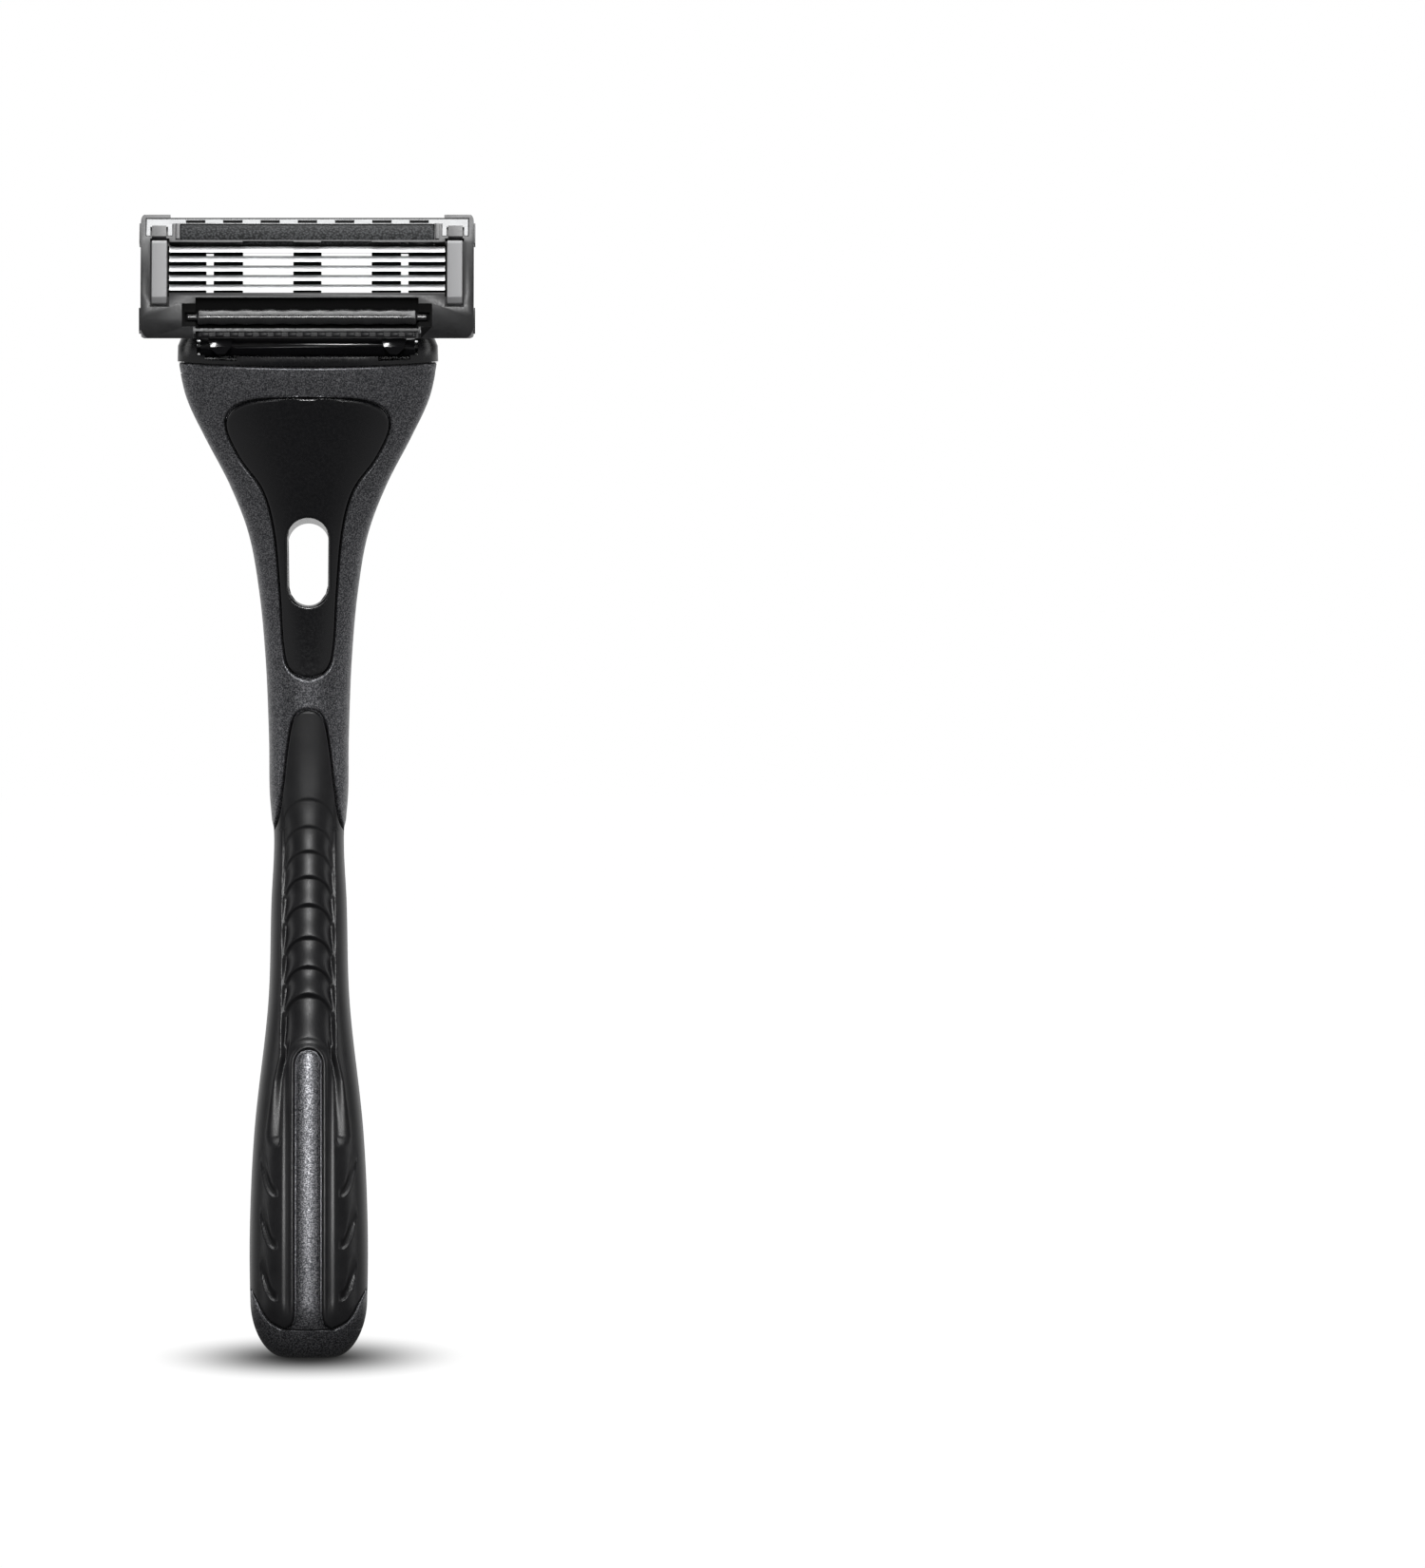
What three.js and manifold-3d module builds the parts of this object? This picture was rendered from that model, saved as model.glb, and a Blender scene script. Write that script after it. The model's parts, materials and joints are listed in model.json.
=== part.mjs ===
// A five-blade cartridge razor, standing upright on the small flat at the end of its handle.
//
// Millimetres. +Z runs up the handle, the blades face -Y and the razor is symmetric about X = 0.
// The origin is the middle of the flat on the handle's butt.

import * as THREE from 'three';
import { mergeVertices } from 'three/addons/utils/BufferGeometryUtils.js';
import Module from 'manifold-3d';

const wasm = await Module();
wasm.setup();

// ---------------------------------------------------------------- driving dimensions

const FAR = 60;                      // reach of a cutting block past anything it cuts
const SEAM = 0.06;                   // gap at the seam between two parts of the handle
const RUNNING = 0.25;                // gap round a part that moves

// Handle: height, half width, half depth, and how far back the centre line lies.
const handleStations = [
  [0, 7.2, 5.7, 0],
  [15, 7.45, 6.2, 1.0],
  [28, 6.9, 6.3, 2.4],
  [45, 5.1, 5.9, 4.1],
  [57, 4.75, 5.5, 4.9],
  [65.5, 4.4, 5.2, 5.1],
  [71, 4.8, 5.1, 5.0],
  [77, 5.0, 5.0, 4.65],
  [88, 5.45, 4.6, 3.3],
  [97, 6.3, 4.3, 1.6],
  [104, 7.6, 4.2, 0.1],
  [110, 9.9, 4.3, -1.2],
  [116, 13.0, 4.5, -2.4],
  [121, 15.35, 4.8, -3.3],
  [126, 16.45, 5.1, -4.0],
];
const buttRound = 7;                 // height of the rounded end of the butt
const buttFlat = 0.42;               // the flat's size as a fraction of the full section
const roundness = 2.5;               // superellipse power of the handle's section
const coreTop = 125.1;               // where the handle ends and the head collar begins
const skin = 1.2;                    // thickness of the inlay, cover and rubber grips

const slot = { halfWidth: 2.65, low: 94.6, high: 105.8 };
const gripFront = -0.9;              // the front grip stops this far in front of the centre line

// Mechanism inside the head: a straight chamber between two Y planes.
const chamber = { front: -3.5, back: -0.3, low: 109.5, shelfLow: 115, shelfTop: 115.8, halfWidth: 6.2 };
const plunger = { half: 1.6, low: 121.7, high: 126.6 };
const finger = { inner: 3.1, outer: 5.8, high: 124.5 };
const spring = { radius: 1.05, wire: 0.18, y: -1.9 };
const button = { half: 5, low: 112, high: 118, travel: 2.2 };
const stem = { inner: 3.3, outer: 4.5, low: 112.4, high: 115.4 };
const heelRoom = { half: 2, front: -4.6, low: 124.3 };

// Pivot of the cartridge.
const pivot = { y: -5, z: 127.5, pinRadius: 0.75, pinHalf: 15.1, barrelRadius: 1.35, barrelHalf: 13.5 };
const prong = { inner: 9.3, outer: 12.5 };
const trench = { half: 13.9, front: -7.2, back: -2.8, low: 125.75 };

// Cartridge, in its own frame: x across, y into the cartridge, z up its face.
const tilt = THREE.MathUtils.degToRad(20);
const cartridgeCentre = new THREE.Vector3(0, -12, 137.45);
const halfWidth = 20.9;
const capSlope = THREE.MathUtils.degToRad(22);
const capStart = 3.4;
const guardSlope = THREE.MathUtils.degToRad(18);
const guardStart = -3.45;
const bladeCount = 5;
const bladePitch = 1.26;
const firstEdge = -2.93;
const blade = { half: 17.3, width: 1.16, thick: 0.1, slope: THREE.MathUtils.degToRad(35) };
const bracket = { thick: 0.25, gap: 0.04, reach: 2.2, half: 17.1 };
const pocket = { half: 17.5, low: -3.3, high: 3.45, depth: 2.4 };
const frameBack = 4.7;
const roller = { half: 13.7, radius: 1.12, axle: 0.5, axleHalf: 15.1, along: 2.9, depth: 1.1 };
const scallops = 9;
const rollerTurn = THREE.MathUtils.degToRad(-8);
const windowSpan = { inner: 1.75, outer: 8.1 };
const slitSpan = { inner: 11.75, outer: 12.7 };
const bar = { low: 3.12, high: 3.95, half: 20.2, depth: 0.08, thick: 0.3 };
const tab = { low: 1.15, inner: 16.95, windowInner: 17.5, windowOuter: 19.7 };
const lube = { low: 0.42, high: 3.0, half: 15.9 };
const strapSpan = { inner: 17.6, outer: 19.5 };
const finBand = { low: 4.78, high: 5.4, half: 13.7 };
const leg = { front: 4.75, back: 6.15, top: -3.5 };
const dock = { wall: 0.7, back: 7.1, low: -6.4, roof: 0.5 };

// ---------------------------------------------------------------- materials

function material(color, roughness, metalness) {
  return new THREE.MeshStandardMaterial({ color, roughness, metalness });
}

const graphite = material(0x36373a, 0.45, 0.6);
const satinBlack = material(0x0d0d0f, 0.35, 0.0);
const rubberBlack = material(0x141416, 0.7, 0.0);
const glossBlack = material(0x08080a, 0.12, 0.0);
const cartridgeBlack = material(0x1c1d1f, 0.55, 0.0);
const steel = material(0xd6d8da, 0.18, 1.0);
const springSteel = material(0xa9abad, 0.3, 1.0);
const lubricant = material(0x3b3d3f, 0.85, 0.0);

// ---------------------------------------------------------------- solids

function solid(geometry) {
  const bare = geometry.clone();
  bare.deleteAttribute('normal');
  bare.deleteAttribute('uv');
  const merged = mergeVertices(bare, 1e-4);
  return new wasm.Manifold(new wasm.Mesh({
    numProp: 3,
    vertProperties: Float32Array.from(merged.attributes.position.array),
    triVerts: Uint32Array.from(merged.index.array),
  }));
}

function join(first, ...others) {
  return others.reduce((sum, other) => sum.add(other), first);
}

function cut(first, ...others) {
  return others.reduce((rest, other) => rest.subtract(other), first);
}

function box(x0, x1, y0, y1, z0, z1) {
  const geometry = new THREE.BoxGeometry(x1 - x0, y1 - y0, z1 - z0);
  geometry.translate((x0 + x1) / 2, (y0 + y1) / 2, (z0 + z1) / 2);
  return solid(geometry);
}

// The same box on the left and on the right, from |x| = x0 to |x| = x1.
function boxPair(x0, x1, y0, y1, z0, z1) {
  return box(x0, x1, y0, y1, z0, z1).add(box(-x1, -x0, y0, y1, z0, z1));
}

// An outline of [y, z] points drawn out along X.
function alongX(outline, x0, x1) {
  const shape = new THREE.Shape(outline.map(([y, z]) => new THREE.Vector2(y, z)));
  const geometry = new THREE.ExtrudeGeometry(shape, { depth: x1 - x0, bevelEnabled: false });
  const turn = new THREE.Matrix4().makeBasis(
    new THREE.Vector3(0, 1, 0), new THREE.Vector3(0, 0, 1), new THREE.Vector3(1, 0, 0));
  geometry.applyMatrix4(turn);
  geometry.translate(x0, 0, 0);
  return solid(geometry);
}

function alongXPair(outline, x0, x1) {
  return alongX(outline, x0, x1).add(alongX(outline, -x1, -x0));
}

// An outline of [x, z] points drawn out along Y.
function alongY(outline, y0, y1) {
  const shape = new THREE.Shape(outline.map(([x, z]) => new THREE.Vector2(x, z)));
  const geometry = new THREE.ExtrudeGeometry(shape, { depth: y1 - y0, bevelEnabled: false });
  geometry.rotateX(Math.PI / 2);
  geometry.translate(0, y1, 0);
  return solid(geometry);
}

function rodX(radius, x0, x1, y, z, sides = 20) {
  const geometry = new THREE.CylinderGeometry(radius, radius, x1 - x0, sides);
  geometry.rotateZ(Math.PI / 2);
  geometry.translate((x0 + x1) / 2, y, z);
  return solid(geometry);
}

function roundedRectangle(x0, x1, z0, z1, radius) {
  const shape = new THREE.Shape();
  shape.moveTo(x0 + radius, z0);
  shape.lineTo(x1 - radius, z0);
  shape.absarc(x1 - radius, z0 + radius, radius, -Math.PI / 2, 0);
  shape.absarc(x1 - radius, z1 - radius, radius, 0, Math.PI / 2);
  shape.absarc(x0 + radius, z1 - radius, radius, Math.PI / 2, Math.PI);
  shape.absarc(x0 + radius, z0 + radius, radius, Math.PI, Math.PI * 1.5);
  const points = shape.extractPoints(5).shape;
  const isNew = (p, i) => p.distanceTo(points[(i + points.length - 1) % points.length]) > 1e-3;
  return points.filter(isNew).map(p => [p.x, p.y]);
}

const root = new THREE.Group();

function add(name, manifold, look, parent = root) {
  const built = manifold.getMesh();
  const geometry = new THREE.BufferGeometry();
  geometry.setAttribute('position', new THREE.BufferAttribute(Float32Array.from(built.vertProperties), 3));
  geometry.setIndex(Array.from(built.triVerts));
  geometry.computeVertexNormals();
  const mesh = new THREE.Mesh(geometry, look);
  mesh.name = name;
  parent.add(mesh);
}

// ---------------------------------------------------------------- handle shape

function smooth(column) {
  const heights = handleStations.map(row => row[0]);
  const values = handleStations.map(row => row[column]);
  const curve = new THREE.CubicInterpolant(heights, values, 1, []);
  return z => curve.evaluate(z)[0];
}

const widthAt = smooth(1);
const depthAt = smooth(2);
const centreAt = smooth(3);

function buttFactor(z) {
  if (z >= buttRound) return 1;
  const rise = 1 - z / buttRound;
  return buttFlat + (1 - buttFlat) * Math.sqrt(1 - rise * rise);
}

// One superellipse ring of [x, y] points.
function ring(halfX, halfY, centreY, count) {
  return Array.from({ length: count }, (_, i) => {
    const turn = (i / count) * 2 * Math.PI;
    const power = 2 / roundness;
    const x = Math.sign(Math.cos(turn)) * Math.abs(Math.cos(turn)) ** power;
    const y = Math.sign(Math.sin(turn)) * Math.abs(Math.sin(turn)) ** power;
    return [halfX * x, centreY + halfY * y];
  });
}

// A closed solid through a list of rings at rising heights.
function loft(heights, ringAt) {
  const rings = heights.map(ringAt);
  const count = rings[0].length;
  const positions = rings.flatMap((points, i) => points.flatMap(([x, y]) => [x, y, heights[i]]));
  const index = [];
  for (let level = 0; level + 1 < rings.length; level += 1) {
    for (let i = 0; i < count; i += 1) {
      const next = (i + 1) % count;
      const a = level * count + i;
      const b = level * count + next;
      index.push(a, b, b + count, a, b + count, a + count);
    }
  }
  const top = (rings.length - 1) * count;
  for (let i = 1; i + 1 < count; i += 1) {
    index.push(0, i + 1, i);
    index.push(top, top + i, top + i + 1);
  }
  const geometry = new THREE.BufferGeometry();
  geometry.setAttribute('position', new THREE.Float32BufferAttribute(positions, 3));
  geometry.setIndex(index);
  return solid(geometry);
}

const ringCount = 24;
const collarRingCount = 72;
const buttHeights = [0, 0.4, 1.1, 2.2, 3.7, 5.3];
const shaftSteps = 23;
const shaftHeights = Array.from({ length: shaftSteps + 1 }, (_, i) =>
  buttRound + (coreTop - buttRound) * i / shaftSteps);
const handleHeights = [...buttHeights, ...shaftHeights];

// The handle's outer form, drawn in by a depth all round.
function handleForm(inset) {
  return loft(handleHeights, z => {
    const factor = buttFactor(z);
    return ring(widthAt(z) * factor - inset, depthAt(z) * factor - inset, centreAt(z), ringCount);
  });
}

// Everything in front of (side = -1) or behind (side = 1) the centre line moved back by an amount.
function halfSpace(side, behind) {
  const line = handleHeights.map(z => [centreAt(z) + behind, z]);
  const outline = [...line, [side * FAR, coreTop], [side * FAR, 0]];
  return alongX(outline, -FAR / 2, FAR / 2);
}

// A closed outline, symmetric about x = 0, from the points of its right half.
function mirroredOutline(half, divisions) {
  const right = half.map(([x, z]) => new THREE.Vector2(x, z));
  const left = half.slice(1, -1).reverse().map(([x, z]) => new THREE.Vector2(-x, z));
  const curve = new THREE.SplineCurve([...right, ...left, right[0]]);
  return curve.getPoints(divisions).slice(0, -1).map(p => [p.x, p.y]);
}

// Moves every point of a clockwise outline outwards.
function grown(outline, amount) {
  const count = outline.length;
  return outline.map(([x, z], i) => {
    const [x0, z0] = outline[(i + count - 1) % count];
    const [x1, z1] = outline[(i + 1) % count];
    const length = Math.hypot(x1 - x0, z1 - z0);
    return [x - amount * (z1 - z0) / length, z + amount * (x1 - x0) / length];
  });
}

const inlayOutline = mirroredOutline([
  [0, 121.1], [6, 120.8], [9.3, 119.7], [10.3, 117.3], [8.6, 113.4], [5.7, 109.3],
  [4.3, 104.2], [3.6, 96.7], [3.2, 90], [2.4, 86.8], [0, 85.6],
], 44);

const coverOutline = mirroredOutline([
  [0, 123.6], [8, 123.3], [11.4, 121.8], [11.9, 118.8], [9.9, 113.5], [7.2, 109.3],
  [5.2, 104.2], [4.1, 97], [3.8, 91], [2.8, 88.1], [0, 87],
], 44);

const rearPadOutline = mirroredOutline([
  [0, 79], [1.9, 77.6], [2.8, 73], [3.1, 60], [3.4, 40], [4.1, 22], [3.6, 12], [2, 9.4], [0, 8.8],
], 36);

// The front grip's outline: a tongue above, full width below, and two feet beside a bare strip.
const strip = { half: 1.75, top: 38.9 };
const gripOutline = mirroredOutline([
  [0, 81.5], [1.4, 81], [2.2, 79.4], [2.8, 75.7], [3.3, 71.5], [4.3, 66.6], [8, 63], [11, 50], [11, 14],
  [7.2, 8.4], [5.2, 5], [3, 3.7], [1.4, 4.6], [0, 5],
], 52);
const stripOutline = roundedRectangle(-strip.half, strip.half, -6, strip.top, strip.half - 0.02);

const frontHalf = halfSpace(-1, 0);
const rearHalf = halfSpace(1, 0);

function inlayRegion(grow) {
  return alongY(grown(inlayOutline, grow), -FAR, FAR).intersect(frontHalf);
}

function coverRegion(grow) {
  return alongY(grown(coverOutline, grow), -FAR, FAR).intersect(rearHalf);
}

function rearPadRegion(grow) {
  return alongY(grown(rearPadOutline, grow), -FAR, FAR).intersect(rearHalf);
}

function gripRegion(grow) {
  const outer = alongY(grown(gripOutline, grow), -FAR, FAR);
  const bare = alongY(grown(stripOutline, grow), -FAR, FAR);
  return outer.subtract(bare).intersect(halfSpace(-1, gripFront + grow));
}

const outerForm = handleForm(0);
const underSkin = handleForm(skin);
const coreForm = handleForm(skin + SEAM);

function hangingSlot(grow) {
  const { halfWidth: half, low, high } = slot;
  return alongY(roundedRectangle(-half - grow, half + grow, low - grow, high + grow, half), -FAR, FAR);
}

// ---------------------------------------------------------------- handle pieces

function headChamber() {
  const { front, back, low, shelfLow, shelfTop, halfWidth: half } = chamber;
  const plungerBore = box(-plunger.half - 0.4, plunger.half + 0.4, front, back, shelfTop, FAR * 3);
  const fingerWays = boxPair(finger.inner - 0.4, half, front, back, low, FAR * 3);
  const springRoom = box(-half, half, front, back, low, shelfLow);
  const stemTop = stem.high + button.travel + 1.2;
  const stemSlots = boxPair(stem.inner - 0.3, stem.outer + 0.3, back - 0.1, FAR, stem.low - 0.3, stemTop);
  const heelWay = box(-heelRoom.half, heelRoom.half, heelRoom.front, back, heelRoom.low, FAR * 3);
  return join(plungerBore, fingerWays, springRoom, stemSlots, heelWay);
}

function handleCore() {
  const regions = [inlayRegion(SEAM), coverRegion(SEAM), rearPadRegion(SEAM), gripRegion(SEAM)];
  const shell = cut(outerForm, ...regions);
  return cut(shell.add(coreForm), hangingSlot(0), headChamber());
}

function skinPiece(region) {
  return outerForm.intersect(region).subtract(underSkin);
}

function rearCover() {
  const { half, low, high, travel } = button;
  const buttonWindow = box(-half - 0.3, half + 0.3, -FAR, FAR, low - 0.5, high + travel + 1.2);
  return cut(skinPiece(coverRegion(0)), hangingSlot(0), buttonWindow);
}

function headCollar() {
  const low = coreTop + 0.15;
  const rims = [
    [low, 16.4, 5.05, -3.9], [127.2, 16.35, 5.1, -4.2], [128.7, 15.85, 4.8, -4.3],
    [129.7, 14.9, 4.0, -4.4], [130.2, 13.8, 3.1, -4.5],
  ];
  const outer = loft(rims.map(row => row[0]), z => {
    const [, halfX, halfY, centreY] = rims.find(row => row[0] === z);
    return ring(halfX, halfY, centreY, collarRingCount);
  });
  const { half, front, back, low: floor } = trench;
  const above = FAR * 3;
  const pinReach = pivot.pinHalf + 0.2;
  const cradleRoom = box(-half, half, front, back, floor, above);
  const notches = boxPair(prong.inner - 0.4, prong.outer + 0.4, -FAR, front + 0.2, floor, above);
  const pinHole = rodX(pivot.pinRadius + 0.05, -pinReach, pinReach, pivot.y, pivot.z);
  const fingerWays = boxPair(finger.inner - 0.4, finger.outer + 0.3, chamber.front, chamber.back, 0, above);
  const heelWay = box(-heelRoom.half, heelRoom.half, heelRoom.front, chamber.back, 0, above);
  const mouthLow = 126.3;
  const mouth = box(-half, half, -FAR, front + 0.1, mouthLow, above);
  return cut(outer, cradleRoom, notches, mouth, pinHole, fingerWays, heelWay);
}

add('handle_core', handleCore(), graphite);
add('front_inlay', cut(skinPiece(inlayRegion(0)), hangingSlot(0)), satinBlack);
add('rear_cover', rearCover(), satinBlack);
add('front_grip', skinPiece(gripRegion(0)), rubberBlack);
add('rear_grip', skinPiece(rearPadRegion(0)), rubberBlack);
add('head_collar', headCollar(), satinBlack);

// ---------------------------------------------------------------- mechanism in the head

class Helix extends THREE.Curve {
  constructor(low, high, turns) {
    super();
    Object.assign(this, { low, high, turns });
  }

  getPoint(t, target = new THREE.Vector3()) {
    const turn = t * this.turns * 2 * Math.PI;
    const z = this.low + (this.high - this.low) * t;
    return target.set(spring.radius * Math.cos(turn), spring.y + spring.radius * Math.sin(turn), z);
  }
}

function coil(low, high, turns) {
  const section = new THREE.Shape();
  section.absarc(0, 0, spring.wire, 0, 2 * Math.PI);
  const path = new Helix(low + spring.wire + 0.05, high - spring.wire - 0.05, turns);
  const options = { steps: turns * 9, curveSegments: 5, bevelEnabled: false, extrudePath: path };
  return solid(new THREE.ExtrudeGeometry(section, options));
}

function releaseSlide() {
  const [front, back] = [chamber.front + 0.3, chamber.back - 0.3];
  const low = chamber.low + 0.3;
  const base = box(-finger.outer, finger.outer, front, back, low, low + 1.4);
  return base.add(boxPair(finger.inner, finger.outer, front, back, low, finger.high));
}

function releaseButton() {
  const { half, low, high } = button;
  const pad = [
    [1.75, low], [3.5, low + 0.1], [3.75, low + 0.9], [3.1, low + 2.6], [2.75, high - 0.4], [0.85, high],
  ];
  const stems = boxPair(stem.inner, stem.outer, chamber.back - 0.15, 1.9, stem.low, stem.high);
  return alongX(pad, -half, half).add(stems);
}

function plungerBlock() {
  const { half, low, high } = plunger;
  return box(-half, half, chamber.front + 0.3, chamber.back - 0.3, low, high);
}

add('pivot_pin', rodX(pivot.pinRadius, -pivot.pinHalf, pivot.pinHalf, pivot.y, pivot.z), steel);
add('plunger', plungerBlock(), glossBlack);
add('plunger_spring', coil(chamber.shelfTop, plunger.low, 5), springSteel);
add('ejector_slide', releaseSlide(), glossBlack);
add('release_spring', coil(chamber.low + 1.7, chamber.shelfLow, 4), springSteel);
add('release_button', releaseButton(), satinBlack);

// From the cartridge's own [y, z] to the razor's.
function fromCartridge([y, z]) {
  return [
    cartridgeCentre.y + y * Math.cos(tilt) + z * Math.sin(tilt),
    cartridgeCentre.z - y * Math.sin(tilt) + z * Math.cos(tilt),
  ];
}

function cradle() {
  const { y, z, barrelRadius, barrelHalf, pinRadius } = pivot;
  const barrel = rodX(barrelRadius, -barrelHalf, barrelHalf, y, z);
  const bore = rodX(pinRadius + 0.15, -FAR, FAR, y, z);
  const hook = [
    [y, z - 1.25], [-8.8, 126.3], [-9.8, 126.6], [-10.35, 127.5],
    fromCartridge([leg.front, -7.3]), fromCartridge([leg.front, leg.top]),
    fromCartridge([leg.back, leg.top]), fromCartridge([leg.back, -6.6]),
    [-8, 128.75], [y, z + 1.25],
  ];
  const heel = [[-5.5, 126.9], [-1.7, 126.9], [-1.7, 128.2], [-5.5, 128.6]];
  const { inner, outer } = prong;
  const front = [
    [inner, FAR * 3], [inner, 128.6], [inner + 0.35, 127.4], [inner + 1.1, 126.5], [inner + 1.9, 126.4],
    [outer - 0.45, 127.2], [outer - 0.1, 128.3], [outer, 129.6], [outer, FAR * 3],
  ];
  const arm = alongX(hook, inner, outer).intersect(alongY(front, -FAR, FAR));
  return cut(join(barrel, arm, arm.mirror([1, 0, 0]), alongX(heel, -1.5, 1.5)), bore);
}

add('cradle', cradle(), glossBlack);

// ---------------------------------------------------------------- cartridge

const cartridge = new THREE.Group();
cartridge.position.copy(cartridgeCentre);
cartridge.rotation.x = -tilt;
root.add(cartridge);

// A point on the sloping cap: so far along it from the blades, and so deep under it.
function onCap(along, depth) {
  return [
    along * Math.sin(capSlope) + depth * Math.cos(capSlope),
    capStart + along * Math.cos(capSlope) - depth * Math.sin(capSlope),
  ];
}

// A point on the sloping guard below the blades.
function onGuard(along, depth) {
  return [
    along * Math.sin(guardSlope) + depth * Math.cos(guardSlope),
    guardStart - along * Math.cos(guardSlope) + depth * Math.sin(guardSlope),
  ];
}

function band(on, along0, along1, depth0, depth1) {
  return [on(along0, depth0), on(along1, depth0), on(along1, depth1), on(along0, depth1)];
}

function docks() {
  const { wall, back, low, roof } = dock;
  const top = leg.top + 0.3;
  const housings = boxPair(prong.inner - wall, prong.outer + wall, frameBack - 0.5, back, low, top + roof);
  const [inner, outer] = [prong.inner - RUNNING, prong.outer + RUNNING];
  const ways = boxPair(inner, outer, leg.front - 0.3, leg.back + 0.3, -FAR, top);
  return { housings, ways };
}

function cartridgeFrame() {
  const profile = [
    onCap(4.75, 0.2), onCap(4.5, 0), [0, capStart], [0, guardStart], onGuard(5, 0), [2.4, -8.5],
    [3.4, -8.2], [5, -7.4], [6, -6], [6, 4.5], [4.6, 7], [3.4, 7.7],
  ];
  const outline = roundedRectangle(-halfWidth, halfWidth, -8.6, 8.2, 1.5);
  const block = alongX(profile, -halfWidth, halfWidth).intersect(alongY(outline, -FAR, FAR));

  const barTop = bar.depth + bar.thick + 0.07;
  const pocketFloor = pocket.low + 0.6;
  const openings = [
    box(-pocket.half, pocket.half, -FAR, pocket.depth, pocket.low, pocket.high),
    boxPair(windowSpan.inner, windowSpan.outer, 0, FAR, pocketFloor, pocket.high + 0.15),
    boxPair(slitSpan.inner, slitSpan.outer, 0, FAR, pocketFloor, pocket.high),
    boxPair(slitSpan.outer, 15.8, 0, FAR, pocket.high - 0.5, pocket.high),
    box(-17.8, 17.8, frameBack, FAR, -FAR, FAR),
    alongX(band(onCap, bar.high + 0.1, 9, -3, 3), -17.2, 17.2),
  ];
  const seats = [
    alongX(band(onCap, lube.low - 0.07, lube.high + 0.08, -3, 1.15), -lube.half - 0.1, lube.half + 0.1),
    alongX(band(onCap, bar.low - 0.07, bar.high + 0.07, -3, barTop), -bar.half - 0.1, bar.half + 0.1),
    alongXPair(band(onCap, tab.low - 0.15, bar.high + 0.07, -3, barTop), tab.inner - 0.1, bar.half + 0.1),
    boxPair(strapSpan.inner - 0.3, strapSpan.outer + 0.2, -FAR, 1.5, -5, 4),
    alongX(band(onGuard, finBand.low - 0.08, 6.5, -3, 0.9), -finBand.half - 0.3, finBand.half + 0.3),
  ];
  const axle = { inner: roller.half + 0.2, outer: roller.axleHalf + 0.3 };
  const rollerBay = [
    alongX(band(onGuard, 0.45, 4.35, -3, 3), -roller.half - 0.3, roller.half + 0.3),
    alongXPair(band(onGuard, roller.along - 0.6, roller.along + 0.6, -3, 1.9), axle.inner, axle.outer),
    alongXPair(band(onGuard, 1.2, 4.1, -3, 0.5), axle.inner, axle.outer + 0.3),
  ];
  const cheek = [onGuard(3.1, 0), onGuard(5.6, 0.9), onGuard(5.6, -3), onGuard(3.1, -3)];
  const cheeks = alongXPair(cheek, finBand.half + 0.6, FAR);
  const bulgeAbove = [[0.9, 3.6], [3.4, 3.9], [3.4, 6.6], [2, 6.6]];
  const bulgeBelow = [[0.9, -5], [3.4, -4.7], [3.4, -7.6], [2, -7.6]];
  const added = [
    alongXPair(bulgeAbove, halfWidth - 0.5, halfWidth + 0.2),
    alongXPair(bulgeBelow, halfWidth - 0.5, halfWidth + 0.2),
    alongXPair(band(onCap, 0.75, 2.5, -0.3, 0.7), tab.windowInner + 0.2, tab.windowOuter - 0.2),
    alongXPair(band(onCap, 0.5, 3.0, -0.15, 0.7), 16.05, 16.55),
  ];

  const { housings, ways } = docks();
  const body = cut(block, ...openings, ...seats, ...rollerBay, cheeks);
  return join(body, housings, ...added).subtract(ways);
}

// The stamped steel bar over the cap, with seven windows and a folded tab at each end.
function capBar() {
  const { low, high, half, depth, thick } = bar;
  const strip = alongX(band(onCap, low, high, depth, depth + thick), -half, half);
  const tabs = alongXPair(band(onCap, tab.low, high, depth, depth + thick), tab.inner, half);
  const tabWindows = alongXPair(band(onCap, tab.low - 0.25, 2.6, -1, 2), tab.windowInner, tab.windowOuter);
  const windowPitch = 4.68;
  const windowHalf = 1.2;
  const windows = Array.from({ length: 7 }, (_, i) => {
    const centre = (i - 3) * windowPitch;
    return alongX(band(onCap, low + 0.13, high - 0.2, -1, 2), centre - windowHalf, centre + windowHalf);
  });
  return cut(strip.add(tabs), tabWindows, ...windows);
}

function lubeStrip() {
  const { low, high, half } = lube;
  const crown = [[low, 0.15], [0.9, -0.05], [1.7, -0.12], [2.5, -0.05], [high, 0.15]];
  const outline = [...crown, [high, 1.05], [low, 1.05]].map(([along, depth]) => onCap(along, depth));
  return alongX(outline, -half, half);
}

// A point at a distance up a blade from its edge, and so deep under its outer face.
function onBlade(edge, along, depth) {
  return [
    along * Math.sin(blade.slope) + depth * Math.cos(blade.slope),
    edge + along * Math.cos(blade.slope) - depth * Math.sin(blade.slope),
  ];
}

function bladeSolid(edge) {
  const bevel = 0.3;
  const at = (along, depth) => onBlade(edge, along, depth);
  const { width, thick } = blade;
  const outline = [at(0, 0.04), at(bevel, 0), at(width, 0), at(width, thick), at(bevel, thick)];
  return alongX(outline, -blade.half, blade.half);
}

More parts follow.
